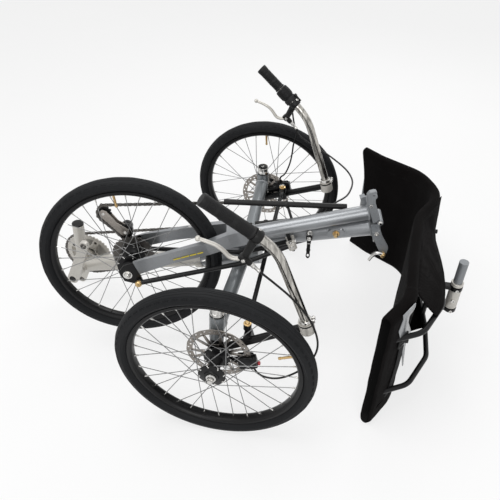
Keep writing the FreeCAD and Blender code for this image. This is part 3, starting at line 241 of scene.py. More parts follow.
makeFinish("tyreRubber", "tyre_rubber", "wear", (0.25, 0.0003), {"Specular IOR Level": 0.2}, cloud=7.0,
           color=(0.0065, 0.007, 0.008), worn=(0.018, 0.019, 0.021), wear=0.35, rough=0.6, grain=700.0)
makeFinish("gripRubber", "grip_rubber", "wear", (0.3, 0.0003), {"Specular IOR Level": 0.25},
           color=(0.007, 0.007, 0.0075), worn=(0.018, 0.018, 0.018), wear=0.3, rough=0.55, grain=900.0)
makeFinish("cableJacket", "black_plastic", "wear", (0.08, 0.0001), {"Specular IOR Level": 0.3},
           color=(0.005, 0.005, 0.005), worn=(0.018, 0.018, 0.018), wear=0.2, rough=0.38, grain=2000.0)
makeFinish("brass", "brass_bolt", "wear", (0.08, 0.0001), {"Metallic": 0.9},
           color=(0.60, 0.42, 0.20), worn=(0.40, 0.28, 0.15), wear=0.4, rough=0.28, grain=900.0)
makeFinish("yellowStripe", "frame_paint", "wear", (0.1, 0.0001), {"Specular IOR Level": 0.4},
           color=(0.62, 0.50, 0.04), worn=(0.42, 0.35, 0.06), wear=0.4, rough=0.4)
makeFinish("redPlastic", "brass_bolt", "wear", (0.1, 0.0001), {"Specular IOR Level": 0.5},
           color=(0.55, 0.02, 0.03), worn=(0.35, 0.02, 0.02), wear=0.3, rough=0.35)
makeFinish("meshCloth", "seat_mesh", "weave", (0.5, 0.0006),
           {"Specular IOR Level": 0.04, "Sheen Weight": 0.01, "Sheen Roughness": 0.6}, "UV", threads=1400.0,
           color=(0.0036, 0.0029, 0.0029), gap=(0.0012, 0.0012, 0.0012), fade=(0.006, 0.005, 0.005),
           rough=0.95)
makeFinish("webbing", "seat_mesh", "weave", (0.4, 0.0004), {"Specular IOR Level": 0.15}, threads=2600.0,
           color=(0.008, 0.008, 0.0085), gap=(0.003, 0.003, 0.003), fade=(0.016, 0.016, 0.016), rough=0.75)
print("finishes ready,", len(finishes))

# the CAD nodes by finish; a star stands for left and right
nodeFinishes = {
    "silverPaint": "main_tube boom_socket rear_tube chainstays seat_stud seat_frame",
    "greyPaint": "cross_member",
    "warmSilver": "boom crank_* chainring",
    "castGrey": "seat_post hinge_front hinge_latch hinge_rear",
    "polishedBarPaintedStreaks": "handlebar_*",
    "brightAlloy": "kingpin_collar_*",
    "discSteel": "brake_disc_*",
    "spokeSteel": "spokes_front_* spokes_rear",
    "chainSteel": "chain_front chain_rear cassette",
    "blackAlloy": "knuckle_* steering_arm_* tie_rod caliper_* hub_front_* hub_rear rim_front_* rim_rear "
                  "dropouts seat_stays seat_brace derailleur brake_lever_*",
    "blackPlastic": "chain_tubes_front chain_tubes_rear shifter strap",
    "tyreRubber": "tyre_front_* tyre_rear",
    "gripRubber": "grip_*",
    "cableJacket": "brake_cable_* gear_cable_bar gear_cable_frame",
    "meshCloth": "seat_sling",
}
for finishName, names in nodeFinishes.items():
    for nodeName in sorted({name.replace("*", side) for name in names.split() for side in sides}):
        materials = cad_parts[nodeName].data.materials
        materials.clear()
        materials.append(finishes[finishName][0])
print("nodes finished")


# outlines and spots are in millimetres; rods, bolts, tubes and chamfers are in metres
def turned(direction):  # turns Z onto a direction
    return direction.to_track_quat("Z", "Y").to_matrix().to_4x4()


def facing(*axes):  # turns X, Y and Z onto three directions
    return Matrix(axes).transposed().to_4x4()


def soften(bm, edges, chamfer):
    bmesh.ops.bevel(bm, geom=list(edges), offset=chamfer, segments=2, profile=0.5, affect="EDGES",
                    material=-1)


def addRod(bm, start, end, radius, tip=None, sides=24, chamfer=0.0):
    place = Matrix.Translation((start + end) / 2) @ turned(end - start)
    made = bmesh.ops.create_cone(bm, cap_ends=True, segments=sides, radius1=radius,
                                 radius2=radius if tip is None else tip, depth=(end - start).length,
                                 matrix=place)
    if chamfer:
        soften(bm, {edge for vert in made["verts"] for edge in vert.link_edges
                    if any(len(face.verts) > 4 for face in edge.link_faces)}, chamfer)


def addBlock(bm, low, high, chamfer=0.0, turn=None):
    place = Matrix.Translation((low + high) / 2) @ (turn or Matrix()) @ Matrix.Diagonal((*(high - low), 1))
    made = bmesh.ops.create_cube(bm, size=1.0, matrix=place)
    if chamfer:
        soften(bm, {edge for vert in made["verts"] for edge in vert.link_edges}, chamfer)


def addBox(bm, centre, half, chamfer, turn=None):
    addBlock(bm, centre - half, centre + half, chamfer, turn)


# outline holds (radius, along); it closes on itself unless an end is on the axis
def addSpin(bm, outline, centre, axis, steps, closed=True):
    out = axis.orthogonal().normalized()
    verts = [bm.verts.new(centre + (out * radius + axis * along) * 0.001) for radius, along in outline]
    pairs = list(zip(verts, verts[1:]))
    if closed and outline[0][0] and outline[-1][0]:
        pairs.append((verts[-1], verts[0]))
    edges = [bm.edges.new(pair) for pair in pairs]
    bmesh.ops.spin(bm, geom=verts + edges, cent=centre, axis=axis, angle=math.tau, steps=steps,
                   use_merge=True)


# outline in X and Z, thickness along Y
def addPlate(bm, outline, middle, thickness, chamfer=0.0):
    verts = [bm.verts.new(at(x, middle - thickness / 2, z)) for x, z in outline]
    made = bmesh.ops.extrude_face_region(bm, geom=[bm.faces.new(verts)])["geom"]
    moved = [part for part in made if isinstance(part, bmesh.types.BMVert)]
    bmesh.ops.translate(bm, verts=moved, vec=at(0, thickness, 0))
    if chamfer:
        soften(bm, {edge for vert in verts + moved for edge in vert.link_edges}, chamfer)


def addCapBolt(bm, start, end, radius):  # round head with a recessed hex socket
    height = (end - start).length * 1000
    r = radius * 1000
    addSpin(bm, [(0, height * 0.45), (r * 0.5, height * 0.45), (r * 0.52, height), (r * 0.9, height),
                 (r, height * 0.85), (r, 0), (0, 0)], start, (end - start).normalized(), 18)


def addBolts(bm, spots, rise, radius):
    for spot in spots:
        addCapBolt(bm, spot, spot + rise, radius)


def routeCurve(name, points, radius, rounding=4, grow=None):  # a smooth spline with the points as controls
    curve = bpy.data.curves.new(name, "CURVE")
    curve.dimensions = "3D"
    if radius:
        curve.bevel_depth = radius
        curve.bevel_resolution = rounding
        curve.use_fill_caps = True
    spline = curve.splines.new("NURBS")
    spline.points.add(len(points) - 1)
    for index, point in enumerate(points):
        spline.points[index].co = (*point, 1)
        spline.points[index].radius = grow[index] if grow else 1.0
    spline.order_u = 3
    spline.use_endpoint_u = True
    return bpy.data.objects.new(name, curve)


def curveMesh(holder):  # the mesh of a curve that is no longer needed
    mesh = bpy.data.meshes.new_from_object(holder)
    curve = holder.data
    bpy.data.objects.remove(holder)
    bpy.data.curves.remove(curve)
    return mesh


def takeMesh(bm, name):  # the mesh of a bmesh that is no longer needed
    mesh = bpy.data.meshes.new(name)
    bm.to_mesh(mesh)
    bm.free()
    return mesh


def addMesh(bm, mesh):
    bm.from_mesh(mesh)
    bpy.data.meshes.remove(mesh)


def addObject(name, data):
    made = bpy.data.objects.new(name, data)
    bpy.context.scene.collection.objects.link(made)
    return made


def addPart(bm, part, place=None):  # moves one bmesh into another
    if place:
        bmesh.ops.recalc_face_normals(part, faces=part.faces)
        part.transform(place)
    addMesh(bm, takeMesh(part, "part"))


def addTube(bm, points, radius, grow):  # a round bar whose radius grows and shrinks along it
    addMesh(bm, curveMesh(routeCurve("route", points, radius, 5, grow)))


def addArm(bm, outline, thickness, chamfer, centre, turn):  # a plate turned about a wheel's middle
    part = bmesh.new()
    addPlate(part, outline, 0, thickness, chamfer)
    addPart(bm, part, Matrix.Translation(centre) @ Matrix.Rotation(turn, 4, "Y"))


# the seat lies beside the frame, but belongs to the front frame's body
def finishPiece(name, bm, body, finish, stands=(), crease=38):
    places = {"seat": seatPlace, "rear_frame": rearPlace, "wheel_rear": rearPlace}
    bm.transform(places.get(body, frontPlace))
    bmesh.ops.remove_doubles(bm, verts=bm.verts, dist=0.00001)
    bmesh.ops.recalc_face_normals(bm, faces=bm.faces)
    mesh = takeMesh(bm, name)
    mesh.shade_smooth()
    mesh.set_sharp_from_angle(angle=math.radians(crease))
    mesh.materials.append(finishes[finish][0])
    piece = addObject(name, mesh)
    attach(piece, "front_frame" if body == "seat" else body)
    if stands:
        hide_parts(*stands)
    return piece


def spinPiece(name, outline, centre, axis, steps, body, finish, stands=(), crease=38):
    bm = bmesh.new()
    addSpin(bm, outline, centre, axis, steps)
    finishPiece(name, bm, body, finish, stands, crease)


# flanges are in millimetres from the wheel's middle, and the valve's turn is in degrees
wheels = {
    "front_left": {"centre": at(0, -398, 243), "flanges": (-26, 26), "valve": 10},
    "front_right": {"centre": at(0, 398, 243), "flanges": (-26, 26), "valve": 80},
    "rear": {"centre": at(1041, 0, 243), "flanges": (-34, 18), "valve": 256},
}
tyre = {"steps": 264, "waves": 33, "wave": 0.0009, "blockDepth": 0.0009, "crown": 0.2364, "tread": 0.019,
        "shoulder": (0.2326, 0.2362), "flank": (0.0168, 0.0202), "inside": [(209.4, -11.0), (209.4, 11.0)],
        "half": [(211.5, 11.6), (213.5, 14.2), (217.0, 18.6), (220.5, 21.2), (222.2, 22.0), (222.7, 22.4),
                 (223.6, 22.4), (224.1, 22.0), (227.5, 21.7), (230.8, 20.3), (231.4, 20.5), (232.6, 20.1),
                 (236.2, 17.0), (237.6, 15.4), (237.0, 14.8), (238.4, 14.0), (240.0, 11.8), (241.0, 9.6),
                 (240.1, 8.9), (241.4, 8.2), (242.3, 5.6), (242.8, 3.4), (241.9, 2.6), (242.9, 1.8)]}
rim = {"half": [(210.8, 11.4), (211, 12.6), (210.6, 13.8), (209.8, 14.0), (204.6, 14.0), (204.2, 13.7),
                (203.6, 13.9), (201.2, 11.9), (199.3, 9.0), (198.3, 5.5), (198.05, 2.0)],
       "bed": [(208.6, 11.4), (206.6, 9.0), (206.2, 4.0)]}
hubs = {
    "front": [(7.6, -45.1), (18.0, -45.1), (19.0, -44.2), (19.0, -41.5), (19.0, -28.6), (31.8, -27.7),
              (33.0, -27.2), (33.0, -24.8), (32.2, -24.4), (23.0, -23.4), (17.0, -19.0), (14.6, -9.0),
              (14.6, 9.0), (17.0, 19.0), (23.0, 23.4), (32.2, 24.4), (33.0, 24.8), (33.0, 27.2),
              (31.8, 27.7), (22.0, 28.6), (18.6, 30.0), (17.4, 33.0), (7.6, 33.0)],
    "rear": [(5.1, -62), (13.0, -62), (14.0, -61), (14.5, -44), (19.0, -40), (19.0, -36.0), (32.0, -35.7),
             (33.0, -35.2), (33.0, -32.8), (32.0, -32.3), (21.0, -31.0), (16.0, -25.0), (15.0, -8.0),
             (16.0, 9.0), (22.0, 15.0), (32.0, 16.3), (33.0, 16.8), (33.0, 19.2), (32.0, 19.7),
             (19.0, 20.4), (18.6, 54.5), (14.0, 55.0), (14.0, 61.0), (13.0, 62.0), (5.1, 62.0)],
}


def mirrored(half):
    return half + [(radius, -along) for radius, along in reversed(half)]


def polar(point, centre):  # radius, turn and sideways place of a point on a wheel
    spot = point - centre
    return math.hypot(spot.x, spot.z), math.atan2(spot.z, spot.x), spot.y


def makeTyre(name, wheel):
    bm = bmesh.new()
    addSpin(bm, mirrored(tyre["half"]) + tyre["inside"], wheel["centre"], acrossAxis, tyre["steps"])
    low, high = tyre["shoulder"]
    near, far = tyre["flank"]
    blocks = []
    for face in bm.faces:
        radius, turn, y = polar(face.calc_center_median(), wheel["centre"])
        step = (turn % math.tau) / math.tau * tyre["steps"]
        if low < radius < high and near < abs(y) < far and int(step) % 4 < 3:
            blocks.append(face)
    for vert in bm.verts:  # the tread lines wander from side to side
        radius, turn, y = polar(vert.co, wheel["centre"])
        if radius > tyre["crown"]:
            vert.co.y += math.sin(turn * tyre["waves"]) * tyre["wave"] * (1 - abs(y) / tyre["tread"])
    bmesh.ops.inset_individual(bm, faces=blocks, thickness=0.0005, depth=-tyre["blockDepth"])
    finishPiece("tread_" + name, bm, "wheel_" + name, "tyreRubber", ["tyre_" + name], 30)


def makeRim(name, wheel):
    bed = [(radius, -along) for radius, along in rim["bed"]] + rim["bed"][::-1]
    spinPiece("hoop_" + name, mirrored(rim["half"]) + bed, wheel["centre"], acrossAxis, 144,
              "wheel_" + name, "blackAlloy", ["rim_" + name], 35)


def makeHub(name, wheel):
    side = -1 if name.endswith("left") else 1
    outline = [(radius, along * side) for radius, along in hubs[name.split("_")[0]]]
    spinPiece("shell_" + name, outline, wheel["centre"], acrossAxis, 48,
              "wheel_" + name, "blackAlloy", ["hub_" + name])


spoke = {"hub": 34.3, "rim": 198, "head": 29.6, "holes": 16, "step": 22.5, "cross": 67.5,
         "nipple": 0.010, "radius": 0.0024, "tip": 0.0017}


def makeNipples(name, wheel):  # nipples in the rim, heads and elbows in the hub
    bm = bmesh.new()
    for index, flange in enumerate(wheel["flanges"]):
        for hole in range(spoke["holes"]):
            way = 1 if hole % 2 else -1
            hubTurn = math.radians((hole + index / 2) * spoke["step"])
            rimTurn = hubTurn - way * math.radians(spoke["cross"])
            start = wheel["centre"] + circleSpot(spoke["hub"], hubTurn, flange + way * 1.2)
            end = wheel["centre"] + circleSpot(spoke["rim"], rimTurn)
            inward = (start - end).normalized()
            addRod(bm, end, end + inward * spoke["nipple"], spoke["radius"], spoke["tip"], sides=8)
            head = wheel["centre"] + circleSpot(spoke["head"], hubTurn, flange + way * 2.2)
            bmesh.ops.create_icosphere(bm, subdivisions=1, radius=0.0019, matrix=Matrix.Translation(head))
            addRod(bm, head, start + (end - start) * 0.02, 0.001, sides=6)
    finishPiece("nipples_" + name, bm, "wheel_" + name, "brightAlloy")


valve = {"foot": 0.1985, "stem": 0.030, "cap": 0.036, "rings": 7, "firstRing": 0.006, "ringStep": 0.0026}


def makeValve(name, wheel):
    bm = bmesh.new()
    turn = math.radians(wheel["valve"])
    out = Vector((math.cos(turn), 0, math.sin(turn)))
    foot = wheel["centre"] + out * valve["foot"]
    addRod(bm, foot, foot - out * 0.002, 0.0055, sides=18, chamfer=0.0005)
    addRod(bm, foot, foot - out * valve["stem"], 0.0029, sides=14)
    for ring in range(valve["rings"]):
        spot = foot - out * (valve["firstRing"] + valve["ringStep"] * ring)
        addRod(bm, spot, spot - out * 0.0012, 0.0033, sides=14)
    addRod(bm, foot - out * valve["stem"], foot - out * valve["cap"], 0.0037, 0.0033, sides=12,
           chamfer=0.0004)
    finishPiece("valve_" + name, bm, "wheel_" + name, "brass")


rotor = {"thickness": 2.2, "sectors": 72, "rings": [80.0, 76.5, 72.5, 68.5, 64.5], "arms": 6, "plane": 356,
         "edge": 0.0795, "scallop": 0.012, "scallops": 18, "boltCircle": 24.2}


def makeRotor(name, side):
    centre = at(0, rotor["plane"] * side, 243)
    body = "wheel_front_" + name
    bm = bmesh.new()
    rings = rotor["rings"]
    addSpin(bm, [(radius, 0) for radius in rings], centre, acrossAxis, rotor["sectors"], closed=False)
    holes = []
    for face in bm.faces:  # two rows of holes, set off from each other
        radius, turn = polar(face.calc_center_median(), centre)[:2]
        sector = int((turn % math.tau) / (math.tau / rotor["sectors"]))
        for row, first in ((1, 0), (2, 2)):
            if rings[row + 1] < radius * 1000 < rings[row] and sector % 4 == first:
                holes.append(face)
    bmesh.ops.delete(bm, geom=holes, context="FACES_ONLY")
    for vert in bm.verts:  # the outer edge is scalloped between the holes
        radius, turn = polar(vert.co, centre)[:2]
        if radius > rotor["edge"]:
            wave = 1 - rotor["scallop"] * (0.5 + 0.5 * math.cos(turn * rotor["scallops"]))
            vert.co = centre + (vert.co - centre) * wave
    bmesh.ops.solidify(bm, geom=bm.faces[:], thickness=rotor["thickness"] * 0.001)
    bmesh.ops.translate(bm, verts=bm.verts, vec=at(0, -rotor["thickness"] / 2, 0))
    for arm in range(rotor["arms"]):
        for lean in (-1, 1):
            outline = [(19.6, -3.5), (19.6, 3.5), (44, 4.4 + lean * 7), (66, 3.0 + lean * 13),
                       (66, -3.0 + lean * 13), (44, -4.0 + lean * 7)]
            addArm(bm, outline, rotor["thickness"], 0.0003, centre, math.tau * arm / rotor["arms"])
    addSpin(bm, [(19.4, -1.1), (29.5, -1.1), (29.5, 1.1), (19.4, 1.1)], centre, acrossAxis, 48)
    finishPiece("disc_" + name, bm, body, "discSteel", ["brake_disc_" + name])
    bm = bmesh.new()
    turns = [math.tau * (arm + 0.5) / rotor["arms"] for arm in range(rotor["arms"])]
    addBolts(bm, [centre + circleSpot(rotor["boltCircle"], turn, -side * 1.1) for turn in turns],
             at(0, -side * 1.7, 0), 0.0032)
    finishPiece("disc_bolts_" + name, bm, body, "spokeSteel")


for name, wheel in wheels.items():
    makeTyre(name, wheel)
    makeRim(name, wheel)
    makeNipples(name, wheel)
    makeHub(name, wheel)
for name, wheel in wheels.items():
    makeValve(name, wheel)
for name, side in sides.items():
    makeRotor(name, side)
print("wheels made")


def addCog(bm, centre, radius, teeth, thickness, bore):  # root radius in millimetres, teeth stand above it
    profile = [(0.0, 3.4), (0.22, 3.2), (0.36, 0.3), (0.64, 0.3), (0.78, 3.2)]
    verts = []
    for tooth in range(teeth):
        for share, rise in profile:
            turn = math.tau * (tooth + share) / teeth
            verts.append(bm.verts.new(centre + circleSpot(radius - 1 + rise, turn, -thickness / 2)))
    ring = [bm.edges.new(pair) for pair in zip(verts, verts[1:] + verts[:1])]
    made = bmesh.ops.extrude_edge_only(bm, edges=ring)["geom"]
    top = [part for part in made if isinstance(part, bmesh.types.BMVert)]
    topRing = [part for part in made if isinstance(part, bmesh.types.BMEdge)]
    bmesh.ops.translate(bm, verts=top, vec=at(0, thickness, 0))
    for outer, height in ((ring, -thickness / 2), (topRing, thickness / 2)):
        place = Matrix.Translation(centre + at(0, height, 0)) @ turned(acrossAxis)
        inner = bmesh.ops.create_circle(bm, cap_ends=False, segments=teeth, radius=bore * 0.001, matrix=place)
        innerRing = list({edge for vert in inner["verts"] for edge in vert.link_edges})
        bmesh.ops.bridge_loops(bm, edges=outer + innerRing)
    addSpin(bm, [(bore, -thickness / 2), (bore, thickness / 2)], centre, acrossAxis, teeth, closed=False)


# each cog as offset, root radius and teeth
cassette = {"cogs": [(25.6, 57, 29), (29.0, 52.5, 26), (32.6, 48, 24), (35.6, 42.5, 21), (40.0, 36.2, 18),
                     (44.4, 32.6, 16), (47.8, 29, 15), (51.4, 25, 13)], "thickness": 1.7, "bore": 19.4}


def makeCassette():
    bm = bmesh.new()
    centre = wheels["rear"]["centre"]
    for offset, radius, teeth in cassette["cogs"]:
        addCog(bm, centre + at(0, offset, 0), radius - 2.4, teeth, cassette["thickness"], cassette["bore"])
    addSpin(bm, [(19.4, 24), (23, 24.4), (22, 53), (19.4, 53.5)], centre, acrossAxis, 32)
    finishPiece("cogs", bm, "wheel_rear", "chainSteel", ["cassette"], 30)


chainring = {"centre": at(-533, 46, 265), "root": 72.5, "teeth": 39, "thickness": 2.4, "bore": 60, "arms": 4,
             "boltCircle": 55, "arm": [(16, -15), (16, 15), (38, 9), (62, 10), (62, -10), (38, -9)]}


def makeChainring():
    centre = chainring["centre"]
    turns = [math.radians(45 + 90 * arm) for arm in range(chainring["arms"])]
    bm = bmesh.new()
    addCog(bm, centre, chainring["root"], chainring["teeth"], chainring["thickness"], chainring["bore"])
    for turn in turns:
        addArm(bm, chainring["arm"], 4.0, 0.0008, centre, turn)
    addSpin(bm, [(11.2, -2), (23, -2), (24, -1), (24, 14.5), (22.5, 15.5), (11.2, 15.5)], centre,
            acrossAxis, 40)
    finishPiece("ring", bm, "crankset", "warmSilver", ["chainring"], 30)
    bm = bmesh.new()
    reach = chainring["boltCircle"]
    for turn in turns:
        for way in (-1, 1):
            start = centre + at(reach * math.sin(turn), 2.0 * way, reach * math.cos(turn))
            addCapBolt(bm, start, start + at(0, 1.6 * way, 0), 0.0045)
    finishPiece("ring_bolts", bm, "crankset", "chainSteel")


link = {"pitch": 12.7, "plate": 1.0, "inner": 2.35, "outer": 3.35, "end": 3.7, "waist": 2.5}


def buildLink(wide):
    bm = bmesh.new()
    half = link["outer"] if wide else link["inner"]
    for way in (-1, 1):
        outline = []
        for end in (-1, 1):
            for turn in (-60, -20, 20, 60):
                angle = math.radians(turn) + (math.pi if end < 0 else 0)
                x = end * link["pitch"] / 2 + link["end"] * math.cos(angle)
                outline.append((x, link["end"] * math.sin(angle)))
            outline.append((0, link["waist"] * end))
        addPlate(bm, outline, way * half, link["plate"])
    reach, radius, corners = (3.9, 0.0016, 8) if wide else (1.6, 0.0036, 10)
    for end in (-1, 1):
        x = end * link["pitch"] / 2
        addRod(bm, at(x, -reach, 0), at(x, reach, 0), radius, sides=corners)
    bmesh.ops.recalc_face_normals(bm, faces=bm.faces)
    return takeMesh(bm, "link")


def routeSpot(route, y, distance):  # a spot along a route of (x, z) corners
    for start, end in zip(route, route[1:]):
        length = math.dist(start, end)
        if distance <= length:
            share = distance / length
            return at(start[0] + (end[0] - start[0]) * share, y, start[1] + (end[1] - start[1]) * share)
        distance -= length
    return at(route[-1][0], y, route[-1][1])


def makeChain(part, route, y):
    links = [buildLink(True), buildLink(False)]
    bm = bmesh.new()
    count = int(sum(math.dist(a, b) for a, b in zip(route, route[1:])) / link["pitch"])
    for index in range(count):
        first = routeSpot(route, y, index * link["pitch"])
        last = routeSpot(route, y, (index + 1) * link["pitch"])
        ahead = last - first
        tilt = Matrix.Rotation(-math.atan2(ahead.z, ahead.x), 4, "Y")
        before = len(bm.verts)
        bm.from_mesh(links[index % 2])
        bm.verts.ensure_lookup_table()
        bmesh.ops.transform(bm, matrix=Matrix.Translation((first + last) / 2) @ tilt, verts=bm.verts[before:])
    for mesh in links:
        bpy.data.meshes.remove(mesh)
    finishPiece("chain_links_" + part, bm, part + "_frame", "chainSteel", ["chain_" + part], 40)


def arcPoints(x, z, radius, start, end, steps):
    turns = [math.radians(start + (end - start) * index / steps) for index in range(steps + 1)]
    return [(x + radius * math.cos(turn), z + radius * math.sin(turn)) for turn in turns]


makeCassette()
makeChainring()
makeChain("front", [(-133, 225)] + arcPoints(-533, 265, 78.3, -90, -270, 20) + [(37, 333)], 46)
makeChain("rear", [(717, 317)] + arcPoints(1041, 243, 41.5, 90, -90, 12)
          + [(1054, 186), (1056, 168), (1080, 112), (1072, 92), (1056, 82), (755, 192)], 40)
print("chain, cogs and ring made")


def sideSpot(side, spot):  # a spot given in millimetres for the right side
    x, y, z = spot
    return at(x, side * y, z)


kingpin = {"spot": (-4, 335, 264), "caster": 14.0, "lean": 7.0, "collar": 80.3}


def kingpinSpot(side, along):
    caster, lean = math.tan(math.radians(kingpin["caster"])), math.tan(math.radians(kingpin["lean"]))
    way = Vector((caster, -side * lean, 1))
    return sideSpot(side, kingpin["spot"]) + way.normalized() * along * 0.001


def makeCollar(name, side):
    axis = (kingpinSpot(side, 10) - kingpinSpot(side, 0)).normalized()
    foot = kingpinSpot(side, kingpin["collar"])
    body = "knuckle_" + name
    spinPiece("collar_" + name, [
        (8.2, 2.6), (16.2, 2.6), (16.9, 3.4), (16.9, 10.2), (16.2, 10.7), (16.2, 11.4), (16.9, 11.9),
        (16.9, 22.6), (16.0, 23.8), (14.6, 23.8), (14.2, 21.0), (8.2, 21.0)], foot, axis, 40, body,
              "brightAlloy",
        ["kingpin_collar_" + name])
    bm = bmesh.new()
    addSpin(bm, [(0, 21.2), (13.6, 21.2), (13.6, 23.4), (12.6, 24.0), (5.2, 24.0), (4.8, 23.0), (0, 23.0)],
            foot, axis, 32)
    addSpin(bm, [(8.2, 0.1), (17.6, 0.1), (18.2, 0.7), (18.0, 2.0), (17.0, 2.6), (8.2, 2.6)], foot, axis, 40)
    finishPiece("collar_cap_" + name, bm, body, "blackPlastic")
    bm = bmesh.new()
    addCapBolt(bm, foot + axis * 0.0232, foot + axis * 0.0256, 0.0042)
    finishPiece("collar_bolt_" + name, bm, body, "brightAlloy")


barRoute = {"foot": (216, 309, 262), "knee": (190, 316, 517), "end": (76, 345, 670)}
grip = {"radius": 14.2, "rib": 0.8, "shallow": 0.15, "pitch": 3.2, "plain": ((0.36, 0.44), (0.70, 0.76)),
        "length": {"left": 128.0, "right": 77.7}}


def barEnd(side):  # the upper end of the bar, and the way it points
    knee, end = sideSpot(side, barRoute["knee"]), sideSpot(side, barRoute["end"])
    return end, (end - knee).normalized()


def makeGrip(name, side):
    end, axis = barEnd(side)
    length, radius = grip["length"][name], grip["radius"]
    outline = [(11.5, 0.2), (13.4, 0.2), (15.0, 0.8), (15.2, 3.4), (14.4, 4.4)]
    along = 6.0
    while along < length - 12:
        plain = any(low < along / length < high for low, high in grip["plain"])
        rib = radius - (grip["shallow"] if plain else grip["rib"])
        outline += [(rib, along), (rib, along + 1.0), (radius, along + 1.5), (radius, along + 2.6)]
        along += grip["pitch"]
    outline += [(14.0, length - 8), (14.6, length - 7), (14.6, length + 1.0), (13.4, length + 3.2),
                (6.0, length + 3.8), (0, length + 3.8)]
    spinPiece("sleeve_" + name, outline, end - axis * length * 0.001, axis, 40, "knuckle_" + name,
              "gripRubber", ["grip_" + name])


shifter = {"below": 0.128, "ribbed": (0.020, 0.047), "ribRadius": 0.0175}


def makeShifter():
    end, axis = barEnd(1)
    start = end - axis * shifter["below"]
    bm = bmesh.new()
    addSpin(bm, [(11.6, 0), (17.6, 0), (18.6, 1.2), (18.6, 12), (17.8, 13.4), (16.4, 14), (16.4, 16),
                 (17.4, 17), (18.4, 20), (18.9, 34), (18.0, 47), (16.5, 49.6), (11.6, 49.8)], start, axis, 48)
    low, high = shifter["ribbed"]
    ribs = []
    for face in bm.faces:
        spot = face.calc_center_median() - start
        height = spot.dot(axis)
        if low < height < high and (spot - axis * height).length > shifter["ribRadius"]:
            ribs.append(face)
    bmesh.ops.inset_individual(bm, faces=ribs, thickness=0.0004, depth=-0.0006)
    finishPiece("twist_shifter", bm, "knuckle_right", "gripRubber", ["shifter"])
    bm = bmesh.new()
    spot = start + axis * 0.0065 - axis.cross(acrossAxis).normalized() * 0.0172
    addBox(bm, spot, at(5, 6, 4.4), 0.0012, turned(axis))
    addRod(bm, spot + at(0, 6, 0), spot + at(0, 6, 0) - axis * 0.024, 0.0036, 0.0028, 12, 0.0004)
    finishPiece("shifter_window", bm, "knuckle_right", "blackPlastic")


lever = {"blade": [(123, 337, 515), (96, 338, 511), (82, 340, 548), (62, 342, 566), (40, 343, 578)],
         "barrelEnd": (149, 336, 475), "below": 0.138, "widen": 1.25, "grow": [0.95, 1.0, 0.95, 0.85, 0.8]}


def makeLever(name, side):
    end, axis = barEnd(side)
    middle = end - axis * lever["below"]
    blade = [sideSpot(side, spot) for spot in lever["blade"]]
    pivot, tip = blade[0], blade[-1]
    body = "knuckle_" + name
    bm = bmesh.new()
    addSpin(bm, [(11.4, -9), (15.4, -9), (16.1, -8), (16.1, 8), (15.4, 9), (11.4, 9)], middle, axis, 36)
    down = (pivot - middle).normalized()
    addRod(bm, middle + down * 0.0125, pivot, 0.0098, 0.0082, 16, 0.0015)
    out = (sideSpot(side, lever["barrelEnd"]) - pivot).normalized()
    addRod(bm, pivot - out * 0.011, pivot + out * 0.020, 0.0088, 0.0068, 18, 0.002)
    addRod(bm, pivot - acrossAxis * 0.0085, pivot + acrossAxis * 0.0085, 0.0082, sides=20, chamfer=0.0012)
    finishPiece("lever_body_" + name, bm, body, "blackPlastic", ["brake_lever_" + name])
    bm = bmesh.new()
    addSpin(bm, [(3.0, 20), (5.6, 20), (5.6, 23), (4.8, 24), (4.8, 26.5), (5.4, 27), (5.4, 29), (4.2, 30.5),
                 (3.6, 40), (4.3, 41.5), (4.3, 45.5), (3.0, 47), (2.7, 47), (2.7, 20)], pivot, out, 24)
    for way in (-1, 1):
        addCapBolt(bm, pivot + acrossAxis * 0.0085 * way, pivot + acrossAxis * 0.0112 * way, 0.0044)
    spot = middle - down * 0.0145
    addCapBolt(bm, spot, spot - down * 0.0028, 0.0036)
    finishPiece("lever_barrel_" + name, bm, body, "brightAlloy")
    bm = bmesh.new()
    addTube(bm, blade, 0.0046, lever["grow"])
    bmesh.ops.create_uvsphere(bm, u_segments=16, v_segments=10, radius=0.0058, matrix=Matrix.Translation(tip))
    for vert in bm.verts:  # the blade is wide and thin
        vert.co.y = blade[2].y + (vert.co.y - blade[2].y) * lever["widen"]
    finishPiece("lever_blade_" + name, bm, body, "warmSilver")


def makeBarClamp(name, side):
    body = "knuckle_" + name
    foot = sideSpot(side, barRoute["foot"])
    spinPiece("bar_sleeve_" + name, [
        (11.2, 2.4), (17.9, 2.4), (18.6, 3.2), (18.6, 27.4), (18.2, 28.2), (17.0, 28.6), (17.0, 32.4),
        (18.4, 33.0), (18.4, 33.6), (11.2, 33.6)], foot, upAxis, 40, body, "warmSilver")
    bm = bmesh.new()
    addSpin(bm, [(11.2, 33.7), (14.4, 33.7), (15.2, 34.6), (15.2, 43.0), (14.4, 44.0), (11.2, 44.0)], foot,
            upAxis, 40)
    for lean in (-5, 5):
        start = foot + at(17, lean, 38.8)
        addBlock(bm, start - at(5, 2, 4.6), start + at(6, 2, 4.6), 0.001)
    bolt = foot + at(18.5, -side * 7, 38.8)
    addCapBolt(bm, bolt, bolt - at(0, side * 4.4, 0), 0.0036)
    addRod(bm, bolt, bolt + at(0, side * 15, 0), 0.0021, sides=12)
    finishPiece("bar_ring_" + name, bm, body, "brightAlloy")


tieRod = {"spot": (72, 306, 281), "lean": 12.56}


